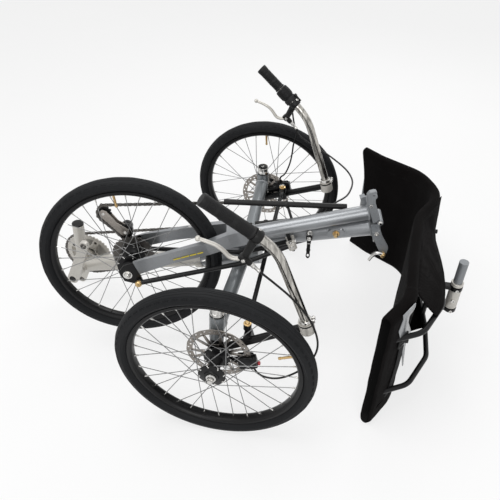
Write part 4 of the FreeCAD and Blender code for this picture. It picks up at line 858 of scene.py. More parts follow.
def makeRodEnds(name, side):
    spot = sideSpot(side, tieRod["spot"])
    lean = math.radians(tieRod["lean"])
    spinPiece("rod_end_ball_" + name, [
        (0, 15.2), (5.0, 15.2), (6.2, 13.6), (6.2, 11.6), (9.6, 11.0), (10.0, 10.2), (10.0, 8.4), (0, 8.4)],
        spot, Vector((math.sin(lean), 0, math.cos(lean))), 28, "tie_rod", "brass")
    bm = bmesh.new()
    inward = Vector((0, -side, 0))
    addRod(bm, spot + inward * 0.012, spot + inward * 0.019, 0.0079, sides=6, chamfer=0.0006)
    addRod(bm, spot + inward * 0.019, spot + inward * 0.052, 0.0072, 0.0062, 16, 0.0006)
    finishPiece("rod_nut_" + name, bm, "tie_rod", "blackAlloy")


caliper = {"height": {"left": 210.5, "right": 262.0},
           "blocks": [((43, 344.2, -22), (84, 353.8, 22)), ((43, 358.2, -20), (84, 364.6, 20)),
                      ((80, 345, -17), (89.5, 364, 17)), ((1, 344.6, -11.5), (46, 351.6, 7.5))]}


def makeCaliper(name, side):
    z = caliper["height"][name]
    body = "knuckle_" + name
    inward = Vector((0, -side, 0))
    bm = bmesh.new()
    for (x0, y0, z0), (x1, y1, z1) in caliper["blocks"]:
        low, high = sorted((side * y0, side * y1))
        addBlock(bm, at(x0, low, z + z0), at(x1, high, z + z1), 0.0028)
    for height in (-14.5, 14.5):
        start = at(60, side * 344.5, z + height)
        addRod(bm, start, start - at(0, side * 3.2, 0), 0.0062, sides=20, chamfer=0.0008)
    addSpin(bm, [(0, 0), (12.6, 0), (12.6, 3.2), (11.4, 4.2), (0, 4.2)], at(66, side * 344.4, z + 8),
            inward, 32)
    addRod(bm, at(66, side * 342, z - 22), at(66, side * 342, z + 4), 0.0032, sides=12)
    finishPiece("caliper_body_" + name, bm, body, "blackAlloy", ["caliper_" + name])
    bm = bmesh.new()
    centre = at(66, side * 340.2, z + 8)
    addSpin(bm, [(0, 0), (11.0, 0), (11.0, 2.6), (10.2, 3.4), (7.2, 3.4), (6.8, 2.6), (3.2, 2.6),
                 (3.0, 4.0), (0, 4.0)],
            centre, inward, 32)
    addBolts(bm, [centre + circleSpot(8.8, turn * math.tau / 6, -side * 3.2) for turn in range(6)],
             inward * 0.0009, 0.0013)
    addBolts(bm, [at(60, side * 341.3, z + height) for height in (-14.5, 14.5)], inward * 0.0035, 0.0042)
    addBolts(bm, [at(12, side * 344.6, z + height) for height in (-7, 3)], inward * 0.003, 0.0036)
    finishPiece("caliper_adjuster_" + name, bm, body, "brightAlloy")
    spinPiece("caliper_knob_" + name, [(0, -2), (4.6, -2), (5.0, -1), (5.0, 4.6), (4.4, 5.4), (0, 5.4)],
              at(84, side * 349, z - 14) + at(4, 0, 0), alongAxis, 14, body, "redPlastic")


def makeAxleEnd(name, side):
    centre = wheels["front_" + name]["centre"]
    out = Vector((0, side, 0))
    bm = bmesh.new()
    addSpin(bm, [(7.6, 33.3), (11.8, 33.3), (12.4, 34.0), (12.0, 36.4), (9.0, 37.6), (8.6, 42.2), (0, 42.2)],
            centre, out, 36)
    addRod(bm, centre + out * 0.0422, centre + out * 0.0485, 0.0068, sides=6, chamfer=0.0008)
    finishPiece("axle_end_" + name, bm, "knuckle_" + name, "brightAlloy")


for name, side in sides.items():
    for make in (makeCollar, makeGrip, makeLever, makeBarClamp, makeCaliper, makeAxleEnd):
        make(name, side)
makeShifter()
for name, side in sides.items():
    makeRodEnds(name, side)
print("steering and controls made")

# the routes of the cables in millimetres; the brake cables are given for the right side
cables = {
    "left": [(149.35, 335.98, 474.46), (155.4, 335.8, 465.4), (170, 334, 444), (206, 332, 390),
             (234, 332, 326), (244, 336, 262), (232, 342, 216), (190, 346, 166), (130, 349, 136),
             (88, 350, 146), (74, 350, 172), (74, 350, 187.5)],
    "right": [(149.35, 335.98, 474.46), (148, 335.6, 462), (131, 330, 430), (123, 328, 400), (109, 328, 362),
              (84, 334, 320), (60, 350, 304), (60, 350, 285.2)],
    "gear": [(146, 350, 574), (140, 352, 520), (142, 345, 458), (172, 339, 426), (208, 330, 402),
             (240, 312, 384), (284, 280, 356), (303, 250, 343), (311, 205, 343), (302, 150, 344),
             (289, 110, 354), (274, 66, 374), (252, 50, 366), (236, 45, 350)],
    "radius": 0.0025, "bendStart": (236, 314, 386), "bendEnd": (303, 250, 343)}


def cableCurve(name, points, radius=0.0):
    holder = routeCurve(name, points, radius)
    holder.data.resolution_u = 16
    return holder


def describeCable(points):
    mesh = curveMesh(cableCurve("measure", points))
    bpy.data.meshes.remove(mesh)


def makeBrakeCable(name, side):
    points = [frontPlace @ sideSpot(side, spot) for spot in cables[name]]
    piece = cableCurve("brake_hose_" + name, points, cables["radius"])
    bpy.context.scene.collection.objects.link(piece)
    piece.data.materials.append(finishes["cableJacket"][0])
    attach(piece, "knuckle_" + name)
    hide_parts("brake_cable_" + name)
    describeCable(points)


def makeGearCable():
    points = [frontPlace @ at(*spot) for spot in cables["gear"]]
    mesh = curveMesh(cableCurve("gear_tube", points, cables["radius"]))
    mesh.materials.append(finishes["cableJacket"][0])
    piece = addObject("gear_cable", mesh)
    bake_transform(piece)
    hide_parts("gear_cable_bar", "gear_cable_frame")
    describeCable(points)


for name, side in sides.items():
    makeBrakeCable(name, side)
makeGearCable()
print("cables made")


seat = {"profile": [(317, 460), (371, 410), (489, 332), (537, 222), (471, 104), (449, -60), (433, -232),
                    (379, -316)],
        "bend": 0.110, "step": 0.012, "low": 11.0, "high": 381.0, "wrap": 12.3, "flap": 52.0, "recess": 0.030,
        "thickness": 0.0013}


def bentPath(bm, points, bend):  # a chain of edges with each corner rounded by a vertex bevel
    verts = [bm.verts.new(point) for point in points]
    for pair in zip(verts, verts[1:]):
        bm.edges.new(pair)
    for corner, before, after in zip(verts[1:-1], points, points[2:]):
        ahead, onward = corner.co - before, after - corner.co
        reach = min(bend * math.tan(ahead.angle(onward) / 2), 0.48 * ahead.length, 0.48 * onward.length)
        bmesh.ops.bevel(bm, geom=[corner], offset=reach, segments=8, profile=0.5, affect="VERTICES",
                        material=-1)


def seatLine():  # spots along a rail's middle, and how far along each is
    bm = bmesh.new()
    bentPath(bm, [at(x, y, 0) for x, y in seat["profile"]], seat["bend"])
    for edge in list(bm.edges):
        cuts = int(edge.calc_length() / seat["step"])
        if cuts:
            bmesh.ops.subdivide_edges(bm, edges=[edge], cuts=cuts)
    first = at(*seat["profile"][0], 0)
    vert = min(bm.verts, key=lambda one: (one.co - first).length)
    spots = [vert.co.copy()]
    ahead = list(vert.link_edges)
    while ahead:
        edge = ahead[0]
        vert = edge.other_vert(vert)
        spots.append(vert.co.copy())
        ahead = [other for other in vert.link_edges if other is not edge]
    bm.free()
    distances = [0.0]
    for a, b in zip(spots, spots[1:]):
        distances.append(distances[-1] + (b - a).length)
    return spots, distances


def lineSpot(line, distance):  # the spot, the way the cloth faces there, and the way along
    spots, distances = line
    distance = min(max(distance, 0.0), distances[-1])
    index = next((i for i in range(1, len(distances)) if distances[i] >= distance), len(distances) - 1)
    share = (distance - distances[index - 1]) / (distances[index] - distances[index - 1])
    spot = spots[index - 1].lerp(spots[index], share)
    ahead = (spots[min(index + 1, len(spots) - 1)] - spots[max(index - 2, 0)]).normalized()
    return spot, Vector((ahead.y, -ahead.x, 0)), ahead


def sectionSpot(section, distance):  # a section holds (forward, height) in millimetres
    for (n0, z0), (n1, z1) in zip(section, section[1:]):
        length = math.dist((n0, z0), (n1, z1))
        if distance <= length or (n1, z1) == section[-1]:
            share = min(distance / length, 1.0)
            return n0 + (n1 - n0) * share, z0 + (z1 - z0) * share
        distance -= length
    return section[-1]


def sectionLength(section):
    return sum(math.dist(a, b) for a, b in zip(section, section[1:]))


# a flat grid with its layout in metres; across is in millimetres
def clothGrid(columns, rows, length, across):
    bm = bmesh.new()
    bmesh.ops.create_grid(bm, x_segments=columns, y_segments=rows, size=0.5)
    layout = bm.loops.layers.uv.new("cut")
    for face in bm.faces:
        for loop in face.loops:
            loop[layout].uv = ((loop.vert.co.x + 0.5) * length, (loop.vert.co.y + 0.5) * across * 0.001)
    return bm


def finishCloth(name, bm, offset, flat, rests, stands=(), **extra):
    piece = finishPiece(name, bm, "seat", "meshCloth", stands, 80)
    shell = piece.modifiers.new("thickness", "SOLIDIFY")
    shell.thickness = seat["thickness"]
    shell.offset = offset


# across the cloth: the flap behind the low rail, round it, over the front and round the high rail
def wrapSection():
    low, high, wrap, flap = seat["low"], seat["high"], seat["wrap"], seat["flap"]
    half = [(-wrap - 1.5, low + flap), (-wrap, low + flap * 0.5), (-wrap, low)]
    half += [(-wrap * math.cos(math.radians(turn)), low - wrap * math.sin(math.radians(turn)))
             for turn in range(30, 180, 30)] + [(wrap, low), (wrap + 0.6, low + 14)]
    return half + [(n, low + high - z) for n, z in reversed(half)]


def makeSling(line):
    total = line[1][-1]
    section = wrapSection()
    across = sectionLength(section)
    low, high, wrap = seat["low"], seat["high"], seat["wrap"]
    middle, half = (low + high) / 2, (high - low) / 2
    bm = clothGrid(150, 118, total, across)
    for vert in bm.verts:
        share = vert.co.x + 0.5
        n, z = sectionSpot(section, (vert.co.y + 0.5) * across)
        between = max(0.0, 1 - ((z - middle) / half) ** 2) if n > 0 else 0.0
        inset = seat["recess"] * between + (0.018 if n < -wrap * 0.5 else 0.0)
        distance = inset + share * (total - 2 * inset)
        spot, normal = lineSpot(line, distance)[:2]
        if n > wrap * 0.9:  # the front sags a little and is pulled in by its lacing
            pull = math.exp(-min(z - low,
                                 high - z) / 45.0) * (0.5 + 0.5 * math.sin(share * total / 0.052 * math.tau))
            n -= 1.6 * between + 0.9 * pull
            n += 1.6 * noise.noise(Vector((distance * 9, z * 0.011, 3.0))) * between
        elif n < -wrap * 0.9:  # the flaps behind lie unevenly
            n += 1.3 * noise.noise(Vector((distance * 26, z * 0.02, 8.0))) - 1.3
        vert.co = spot + normal * n * 0.001 + Vector((0, 0, max(z, 0.4) * 0.001))
    area = sum(face.calc_area() for face in bm.faces)
    finishCloth("sling_cloth", bm, 1.0, (round(across * 0.001, 3), round(total, 3)), ["seat_frame"],
                ["seat_sling"], area=round(area, 4))
    print("sling", round(across * 0.001, 3), "by", round(total, 3), "m, area", round(area, 4))


panel = {"rail": [(536, 214), (514, 176), (487, 132), (472, 90), (465, 40), (459, -10), (454, -58),
                  (449, -104), (444, -152), (439, -196)],
         "bow": [(541, 204), (533, 160), (531, 112), (535, 66), (539, 20), (541, -26), (540, -74),
                 (536, -116), (527, -158), (509, -200)],
         "railHeight": 388.0, "bowHeight": 302.0, "width": 392.0, "upper": 10, "lower": 6}


def makePanel(part, up):  # up is 1 for the panel on the high side, -1 for the one beside the floor
    railHeight, bowHeight = [height if up > 0 else panel["width"] - height
                             for height in (panel["railHeight"], panel["bowHeight"])]
    rail = panel["rail"][:panel[part]]
    bm = bmesh.new()
    edges = []
    for spots, height, shift in ((rail, railHeight, 3.0), (panel["bow"][:panel[part]], bowHeight, 2.0)):
        verts = [bm.verts.new(at(x + shift, y, height)) for x, y in spots]
        edges += [bm.edges.new(pair) for pair in zip(verts, verts[1:])]
    bmesh.ops.bridge_loops(bm, edges=edges)
    bmesh.ops.subdivide_edges(bm, edges=bm.edges[:], cuts=5, use_grid_fill=True)
    layout = bm.loops.layers.uv.new("cut")
    for vert in bm.verts:  # the cloth hangs slack between its rail and its bow
        share = abs(vert.co.z * 1000 - railHeight) / 86.0
        slack = math.sin(min(share, 1.0) * math.pi)
        wave = noise.noise(Vector((vert.co.y * 22, share * 2.0, 1.0)))
        vert.co.z += -0.006 * up * slack + 0.0035 * slack * wave
        vert.co.x += 0.004 * slack * wave
    for face in bm.faces:
        for loop in face.loops:
            loop[layout].uv = (loop.vert.co.y, loop.vert.co.x + loop.vert.co.z)
    area = sum(face.calc_area() for face in bm.faces)
    length = sectionLength(rail) * 0.001
    finishCloth("side_panel_" + part, bm, 0.0, (round(area / length, 3), round(length, 3)),
                ["seat_frame", "seat_brace"])
    print("side_panel_" + part, "area", round(area, 4))


backStraps = {"places": [0.09, 0.22, 0.40, 0.52, 0.64, 0.76, 0.93], "width": 0.024, "thickness": 0.0016,
              "low": 56.0, "high": 336.0, "behind": 15.6}


def makeBackStraps(line):
    bands = bmesh.new()
    buckles = bmesh.new()
    for index, share in enumerate(backStraps["places"]):
        spot, normal, ahead = lineSpot(line, line[1][-1] * share)
        lean = (index % 3 - 1) * 0.01

        def behind(away, height, slip):
            return spot - normal * away * 0.001 + ahead * slip + Vector((0, 0, height * 0.001))

        part = bmesh.new()
        bmesh.ops.create_grid(part, x_segments=2, y_segments=26, size=0.5)
        for vert in part.verts:
            height = backStraps["low"] + (vert.co.y + 0.5) * (backStraps["high"] - backStraps["low"])
            bow = math.sin((vert.co.y + 0.5) * math.pi)
            vert.co = behind(backStraps["behind"] + 4.0 * bow, height,
                             vert.co.x * backStraps["width"] + lean * bow)
        bmesh.ops.solidify(part, geom=part.faces[:], thickness=backStraps["thickness"])
        addPart(bands, part)
        centre = behind(backStraps["behind"] + 3.6, 300 if index % 2 else 282, lean * 0.4)
        for shift in (-0.016, 0.016):
            addBox(buckles, centre + ahead * shift, Vector((0.002, 0.003, 0.017)), 0.0008)
        for rise in (-0.015, 0.0, 0.015):
            low = centre + Vector((0, 0, rise)) - ahead * 0.017
            addRod(buckles, low, low + ahead * 0.034, 0.0024, sides=10)
        addBox(buckles, centre, Vector((0.0125, 0.0035, 0.006)), 0.0012)
    finishPiece("back_straps", bands, "seat", "webbing")
    finishPiece("strap_buckles", buckles, "seat", "blackPlastic")


stitch = {"heights": (36.0, 356.0), "first": 0.05, "step": 0.0075, "half": 0.0021, "radius": 0.0006}


def makeSeatSeams(line):  # a sewn hem on the front beside each rail
    bm = bmesh.new()
    count = int((line[1][-1] - 2 * stitch["first"]) / stitch["step"])
    for z in stitch["heights"]:
        for index in range(count):
            spot, normal, ahead = lineSpot(line, stitch["first"] + index * stitch["step"])
            centre = spot + normal * 0.0131 + Vector((0, 0, z * 0.001))
            addRod(bm, centre - ahead * stitch["half"], centre + ahead * stitch["half"], stitch["radius"],
                   sides=5)
    finishPiece("seat_stitches", bm, "seat", "webbing")


def makeRailPlugs():
    bm = bmesh.new()
    profile = seat["profile"]
    for z in (seat["low"], seat["high"]):
        for end, inner in ((profile[0], profile[1]), (profile[-1], profile[-2])):
            out = (at(*end, 0) - at(*inner, 0)).normalized()
            addSpin(bm, [(0, 1.6), (7.0, 1.4), (10.4, 0.6), (10.9, 0.0), (10.9, -1.0), (0, -1.0)],
                    at(*end, z), out, 24)
    finishPiece("rail_plugs", bm, "seat", "blackPlastic")


headCover = {"length": 0.128, "half": 15.4, "top": 393.2, "bottom": 2.2, "middle": 196.0, "closing": 0.93}


def makeHeadCover(line):  # a cloth sleeve pulled over the end of the backrest
    length, half, top, bottom = [headCover[label] for label in ("length", "half", "top", "bottom")]
    around = [(half * math.sin(math.radians(turn)), half * (1 - math.cos(math.radians(turn))))
              for turn in range(-90, 91, 15)]
    section = [(n, bottom + rise) for n, rise in around] + [(-n, top - rise) for n, rise in around]
    section.append(section[0])
    across = sectionLength(section)
    bm = clothGrid(26, 150, length, across)
    for vert in bm.verts:
        share = vert.co.x + 0.5
        n, z = sectionSpot(section, (vert.co.y + 0.5) * across)
        beyond = max(0.0, share - headCover["closing"]) / 0.07  # the closed end is rounded over
        spot, normal, ahead = lineSpot(line, line[1][-1] - length * (1 - share))
        fold = noise.noise(Vector((share * 5, z * 0.022, n * 0.08)))
        middle = 1 - (abs(z - headCover["middle"]) / headCover["middle"]) ** 4
        n *= 1 - 0.28 * beyond ** 2
        n += (1.5 * fold - 1.0) * middle * (1 if n > 0 else -1)
        vert.co = (spot + normal * n * 0.001 + ahead * 0.004 * share + Vector((0, 0, z * 0.001)))
    bmesh.ops.remove_doubles(bm, verts=bm.verts, dist=0.00005)
    tip = line[0][-1]
    ends = [edge for edge in bm.edges if edge.is_boundary and (edge.verts[0].co - tip).xy.length < 0.04]
    bmesh.ops.edgeloop_fill(bm, edges=ends)
    finishCloth("head_cover", bm, 1.0, (round(across * 0.001, 3), length), ["seat_frame"],
                area=round(across * 0.001 * length, 4))
    print("head cover", round(across * 0.001, 3), "by", length, "m")


backPlate = {"away": 0.061, "behind": 17.6, "thick": 2.0,
             "outline": [(28, 389), (-27, 390), (-30, 374), (-20, 365), (-9, 361), (-12, 338), (-33, 302),
                         (-50, 268), (-50, 254), (-31, 262), (-36, 229), (-58, 140), (-54, 140), (-17, 241),
                         (13, 304), (30, 338), (25, 357), (21, 371)]}


def makeBackPlate(line):  # the grey brace behind the rails where the cover ends
    spot, normal, ahead = lineSpot(line, line[1][-1] - backPlate["away"])
    bm = bmesh.new()
    addPlate(bm, backPlate["outline"], backPlate["behind"], backPlate["thick"], 0.0006)
    bm.transform(Matrix.Translation(spot) @ facing(ahead, -normal, upAxis))
    finishPiece("back_plate", bm, "seat", "silverPaint")


seatPost = {"x": 599, "y": 18}


def makeSeatPost():
    x, y = seatPost["x"], seatPost["y"]
    foot = at(x, y, 0)
    bm = bmesh.new()
    addSpin(bm, [(12.8, 226.5), (16.2, 226.5), (17.0, 227.4), (17.0, 236.0), (16.2, 237.0), (12.8, 237.0)],
            foot, upAxis, 36)
    addSpin(bm, [(12.3, 146), (16.4, 146), (16.9, 147), (16.9, 209), (16.4, 210), (12.3, 210)], foot,
            upAxis, 36)
    addSpin(bm, [(0, 308.5), (10.6, 308.5), (11.2, 309.7), (12.4, 309.9)], foot, upAxis, 30)
    finishPiece("post_sleeves", bm, "seat", "warmSilver")
    bm = bmesh.new()
    addBolts(bm, [at(x, y - 17.4, height) for height in (138, 218)], at(0, -4.0, 0), 0.0048)
    addBolts(bm, [at(x - 2, y - 16.6, 178)], at(0, -3.4, 0), 0.0055)
    addBolts(bm, [at(530, y - 7, height) for height in (96, 296)], at(0, -3.0, 0), 0.0036)
    finishPiece("post_bolts", bm, "seat", "brightAlloy")


railLine = seatLine()
makeSling(railLine)
makePanel("upper", 1)
makePanel("lower", -1)
makeBackStraps(railLine)
makeSeatSeams(railLine)
makeHeadCover(railLine)
makeBackPlate(railLine)
makeRailPlugs()
makeSeatPost()
print("seat made")


bead = {"rise": 2.4, "half": 3.6, "ripples": 44}


def addBead(bm, centre, axis, radius):  # the ripples of a weld round a tube
    rise, half = bead["rise"], bead["half"]
    part = bmesh.new()
    addSpin(part, [(radius - 0.5, -half), (radius + rise * 0.6, -half * 0.6), (radius + rise, 0),
                   (radius + rise * 0.6, half * 0.6), (radius - 0.5, half)], centre, axis,
            bead["ripples"] * 3)
    out = axis.orthogonal().normalized()
    side = axis.cross(out)
    for vert in part.verts:
        spot = vert.co - centre
        flat = out * spot.dot(out) + side * spot.dot(side)
        turn = math.atan2(spot.dot(side), spot.dot(out)) * bead["ripples"]
        vert.co += axis * 0.0006 * math.sin(turn) + flat * 0.012 * math.cos(turn)
    addPart(bm, part)


rearTube = {"start": at(406, 0, 334), "end": at(729, 0, 279)}


def makeWelds():
    tubeWay = at(391, 0, 17).normalized()
    bm = bmesh.new()
    addBead(bm, at(363.6, 0, 333.9), tubeWay, 25.4)
    addSpin(bm, [(25.2, 0), (27.2, 0), (27.5, 0.8), (27.5, 3.4), (25.2, 4.2)], at(80, 0, 321.6), tubeWay, 60)
    middle = at(0, 0, 263)
    for side in sides.values():
        head = kingpinSpot(side, 43.7)
        way = (head - middle).normalized()
        addBead(bm, head - way * 0.0188, way, 19.0)
        addBead(bm, middle + way * 0.0275, way, 19.0)
    finishPiece("front_welds", bm, "front_frame", "weldBead")
    bm = bmesh.new()
    way = (rearTube["end"] - rearTube["start"]).normalized()
    addBead(bm, rearTube["start"] + way * 0.003, way, 19.5)
    addBead(bm, rearTube["end"] - way * 0.017, way, 19.5)
    finishPiece("rear_welds", bm, "rear_frame", "weldBead")


latch = {"spot": at(390, 0, 278), "radius": 0.0042, "grow": [1.2, 1.1, 1.0, 1.0, 0.9],
         "lever": [(392, -56, 275), (384, -58, 286), (372, -58, 288), (362, -55, 276), (353, -52, 260)]}


def makeHingeDetails():
    bm = bmesh.new()
    for way in (-1, 1):
        addSpin(bm, [(0, 31.6), (3.2, 31.6), (5.4, 30.8), (6.2, 29.4), (6.2, 28.2), (0, 28.2)],
                Vector(stance["pivot"]), pinDirection() * way, 24)
    addCapBolt(bm, at(379, -46.8, 341), at(379, -51.0, 341), 0.0058)
    for z in (318.0, 306.0):
        addCapBolt(bm, at(372.0, -26.8, z), at(372.0, -30.4, z), 0.0042)
    finishPiece("hinge_bolts", bm, "front_frame", "brightAlloy")
    bm = bmesh.new()
    addSpin(bm, [(0, 63.4), (4.2, 63.4), (5.6, 62.2), (5.6, 58.6), (7.2, 57.8), (7.2, 53.4), (6.2, 52.6),
                 (4.2, 52.4), (4.2, 47.2), (0, 47.2)], latch["spot"], -acrossAxis, 24)
    addSpin(bm, [(0, 32.6), (5.6, 32.6), (6.2, 31.6), (6.2, 29.4), (0, 28.8)], latch["spot"], -acrossAxis, 20)
    finishPiece("latch_nut", bm, "front_frame", "brass")
    bm = bmesh.new()
    addTube(bm, [at(*spot) for spot in latch["lever"]], latch["radius"], latch["grow"])
    finishPiece("latch_lever", bm, "front_frame", "brightAlloy")
    bm = bmesh.new()
    addCapBolt(bm, at(399, -25, 303), at(399, -28.4, 303), 0.0044)
    addCapBolt(bm, at(411, 25.8, 312), at(411, 29.2, 312), 0.0044)
    finishPiece("hook_bolts", bm, "rear_frame", "brightAlloy")


strap = {"spot": (204, -42, 336), "drop": 50.0, "width": 9.6, "thickness": 3.2}


def makeStrap():
    x, y, z = strap["spot"]
    top = at(x, y, z)
    lean = math.radians(stance["pitch"])
    down = Vector((-math.sin(lean), 0, -math.cos(lean)))
    plumb = Matrix.Rotation(lean, 4, "Y")
    bm = bmesh.new()
    addSpin(bm, [(0, 48.2), (3.4, 48.2), (5.8, 46.8), (6.6, 44.6), (5.2, 42.6), (4.0, 42.0), (4.0, 39.0),
                 (7.0, 38.4), (7.8, 36.6), (7.8, 33.0), (9.6, 30.0), (10.4, 22.6), (0, 22.6)], at(x, 0, z),
            -acrossAxis, 28)
    addBox(bm, top + down * 0.017, at(5.6, 2.4, 1.2), 0.0006, plumb)
    finishPiece("strap_stud", bm, "front_frame", "brightAlloy")
    bm = bmesh.new()
    addSpin(bm, [(5.0, 38.9), (8.6, 38.9), (8.6, 43.2), (5.0, 43.2)], at(x, 0, z), -acrossAxis, 24)
    half = at(strap["width"] / 2, strap["thickness"] / 2, strap["drop"] / 2 - 4)
    addBox(bm, top + down * (0.006 + strap["drop"] * 0.0005), half, 0.0008, plumb)
    for rise in (0.012, 0.040):
        addBox(bm, top + down * rise, at(5.6, 2.6, 2.6), 0.0008, plumb)
    loop = bmesh.new()
    addSpin(loop, [(3.2, -1.7), (5.8, -1.7), (5.8, 1.7), (3.2, 1.7)], Vector((0, 0, 0)), acrossAxis, 28)
    soften(loop, [edge for edge in loop.edges if edge.calc_face_angle(0) > 1.2], 0.0005)
    addPart(bm, loop, Matrix.Translation(top + down * 0.0585) @ plumb @ Matrix.Diagonal((1, 1, 1.7, 1)))
    finishPiece("strap_band", bm, "front_frame", "webbing", ["strap"])


def makeSeatBolt():
    spinPiece("seat_bolt_cap", [
        (0, 41.4), (3.2, 41.4), (5.4, 40.4), (5.8, 39.0), (5.8, 31.4), (8.8, 31.0), (9.4, 30.2), (9.4, 28.9),
        (0, 28.9)], at(274, 0, 336), -acrossAxis, 28, "front_frame", "brass")


def makeStayClamp():
    bm = bmesh.new()
    for low, high, chamfer in (((613.4, -20.8, 339.6), (632.6, 20.8, 362.6), 0.0022),
                               ((611.6, -14.0, 336.4), (634.4, -8.6, 364.2), 0.0012),
                               ((611.6, 8.6, 336.4), (634.4, 14.0, 364.2), 0.0012)):
        addBlock(bm, at(*low), at(*high), chamfer)
    finishPiece("stay_clamp", bm, "rear_frame", "warmSilver")
    bm = bmesh.new()
    for start, end, radius in (((623, -17.4, 340), (623, -17.4, 335.6), 0.0044),
                               ((623, -17.4, 362.4), (623, -17.4, 366.0), 0.0040),
                               ((623, 17.4, 340), (623, 17.4, 335.6), 0.0044),
                               ((623, 17.4, 362.4), (623, 17.4, 366.0), 0.0040),
                               ((613.6, 0, 349), (609.4, 0, 349), 0.0048),
                               ((623, -20.6, 351), (623, -24.6, 351), 0.0046)):
        addCapBolt(bm, at(*start), at(*end), radius)
    finishPiece("stay_clamp_bolts", bm, "rear_frame", "brightAlloy")


crank = {"x": -533, "z": 265, "reach": 150.0, "turn": 52.8, "postLean": 17.3}


def makeBoomDetails():
    axle = at(crank["x"], 0, crank["z"])
    lean = math.radians(crank["postLean"])
    spinPiece("post_plug", [
        (0, 157.4), (12.6, 157.4), (15.6, 156.8), (17.2, 155.6), (17.4, 154.0), (17.2, 152.4), (0, 152.4)],
        axle, Vector((math.sin(lean), 0, math.cos(lean))), 40, "front_frame", "blackPlastic")
    bm = bmesh.new()
    for way, face in ((-1, 80.5), (1, 74.5)):
        addSpin(bm, [(0, face + 0.5), (6.4, face + 0.5), (7.2, face + 1.3), (9.4, face + 1.4),
                     (10.2, face + 0.8), (10.2, face - 0.4), (0, face - 0.4)], axle, acrossAxis * way, 30)
    finishPiece("crank_caps", bm, "crankset", "blackPlastic")
    bm = bmesh.new()
    turn = math.radians(crank["turn"])
    for way, y in ((-1, 74.0), (1, 68.0)):
        reach = way * crank["reach"]
        end = at(crank["x"] - reach * math.cos(turn), 0, crank["z"] - reach * math.sin(turn))
        addSpin(bm, [(7.15, y - 6.6), (8.8, y - 6.6), (8.8, y + 6.9), (8.2, y + 7.3), (7.15, y + 7.3)],
                end, acrossAxis * way, 30)
    finishPiece("pedal_inserts", bm, "crankset", "chainSteel")
    bm = bmesh.new()
    addSpin(bm, [(27.1, -150.4), (29.6, -150.4), (30.0, -149.6), (30.0, -130), (29.6, -129.2),
                 (27.1, -129.2)],
            at(0, 0, 259), alongAxis, 48)
    for y in (-4, 4):
        addBlock(bm, at(-149, y - 2.6, 225), at(-131, y + 2.6, 233), 0.001)
    addRod(bm, at(-140, -9, 228.6), at(-140, 9, 228.6), 0.003, sides=14)
    finishPiece("socket_clamp", bm, "front_frame", "warmSilver")


changer = {"body": [(1040, 214), (1062, 213), (1060, 186), (1046, 162), (1022, 165), (1024, 190)],
           "link": [(1048, 206), (1062, 204), (1052, 172), (1040, 160), (1030, 168), (1040, 184)],
           "guide": (1032, 176), "tension": (1058, 104), "y": 40.0}


def makeChanger():
    (gx, gz), (tx, tz), y = changer["guide"], changer["tension"], changer["y"]
    wheelSpots = [at(gx, y, gz), at(tx, y, tz)]
    bm = bmesh.new()
    addPlate(bm, changer["body"], 68.5, 11, 0.0022)
    addPlate(bm, changer["link"], 58.5, 4.5, 0.0014)
    addBlock(bm, at(1040, 71.4, 198), at(1060, 80, 230), 0.0018)
    addSpin(bm, [(0, 48.6), (11.0, 48.6), (12.0, 50.0), (15.0, 51.0), (15.0, 58.0), (13.6, 59.0),
                 (13.6, 62.0), (15.0, 63.0), (15.0, 72.6), (13.6, 74.0), (0, 74.0)], at(gx, 0, gz),
            acrossAxis, 40)
    finishPiece("changer_body", bm, "rear_frame", "blackAlloy", ["derailleur"])
    bm = bmesh.new()
    for shift in (-8, 8):
        addPlate(bm, [(gx - 13, gz - 3), (gx - 9, gz + 8), (gx + 4, gz + 11), (gx + 13, gz + 4),
                      (tx + 12, tz + 3), (tx + 9, tz - 9), (tx - 3, tz - 12), (tx - 11, tz - 4),
                      (gx + 6, gz - 34)], y + shift, 2.2, 0.0005)
    finishPiece("changer_cage", bm, "rear_frame", "discSteel")
    bm = bmesh.new()
    for spot in wheelSpots:
        addCog(bm, spot, 18.4, 12, 3.2, 4.2)
        addSpin(bm, [(0, -6.8), (7.5, -6.8), (8.5, -6.0), (8.5, 6.0), (7.5, 6.8), (0, 6.8)], spot,
                acrossAxis, 24)
    finishPiece("changer_pulleys", bm, "rear_frame", "blackPlastic")
    bm = bmesh.new()
    for x, z in (changer["guide"], changer["tension"]):
        for way in (-1, 1):
            addBolts(bm, [at(x, y + way * 9.0, z)], at(0, way * 2.2, 0), 0.0042)
    for spot, radius in (((1032, 73.8, 176), 0.0066), ((1050, 79.8, 216), 0.0062), ((1050, 74.0, 198), 0.004),
                         ((1030, 73.8, 190), 0.0026)):
        addBolts(bm, [at(*spot)], at(0, 2.6, 0), radius)
    addSpin(bm, [(0, 0), (4.4, 0), (4.4, 9), (3.6, 10), (2.6, 10), (2.6, 15), (0, 15)], at(1061, 68, 192),
            at(1, 0, -0.35).normalized(), 18)
    finishPiece("changer_bolts", bm, "rear_frame", "brightAlloy")


def makeAxleNuts():
    centre = wheels["rear"]["centre"]
    bm = bmesh.new()
    for out in (-acrossAxis, acrossAxis):
        addSpin(bm, [(5.1, 71.1), (12.0, 71.1), (12.0, 72.4), (5.1, 72.4)], centre, out, 32)
        addRod(bm, centre + out * 0.0724, centre + out * 0.0776, 0.0088, sides=6, chamfer=0.0007)
        addSpin(bm, [(0, 80.2), (3.4, 80.2), (5.0, 79.0), (5.0, 77.4), (0, 77.4)], centre, out, 20)
    finishPiece("axle_nuts", bm, "rear_frame", "brightAlloy")
    bm = bmesh.new()
    for out in (-acrossAxis, acrossAxis):
        addSpin(bm, [(0, 91.0), (4.2, 91.0), (7.2, 89.6), (8.8, 87.0), (8.8, 80.0), (7.6, 78.0), (0, 78.0)],
                at(1022, 0, 271), out, 28)
    finishPiece("stay_ends", bm, "rear_frame", "brass")


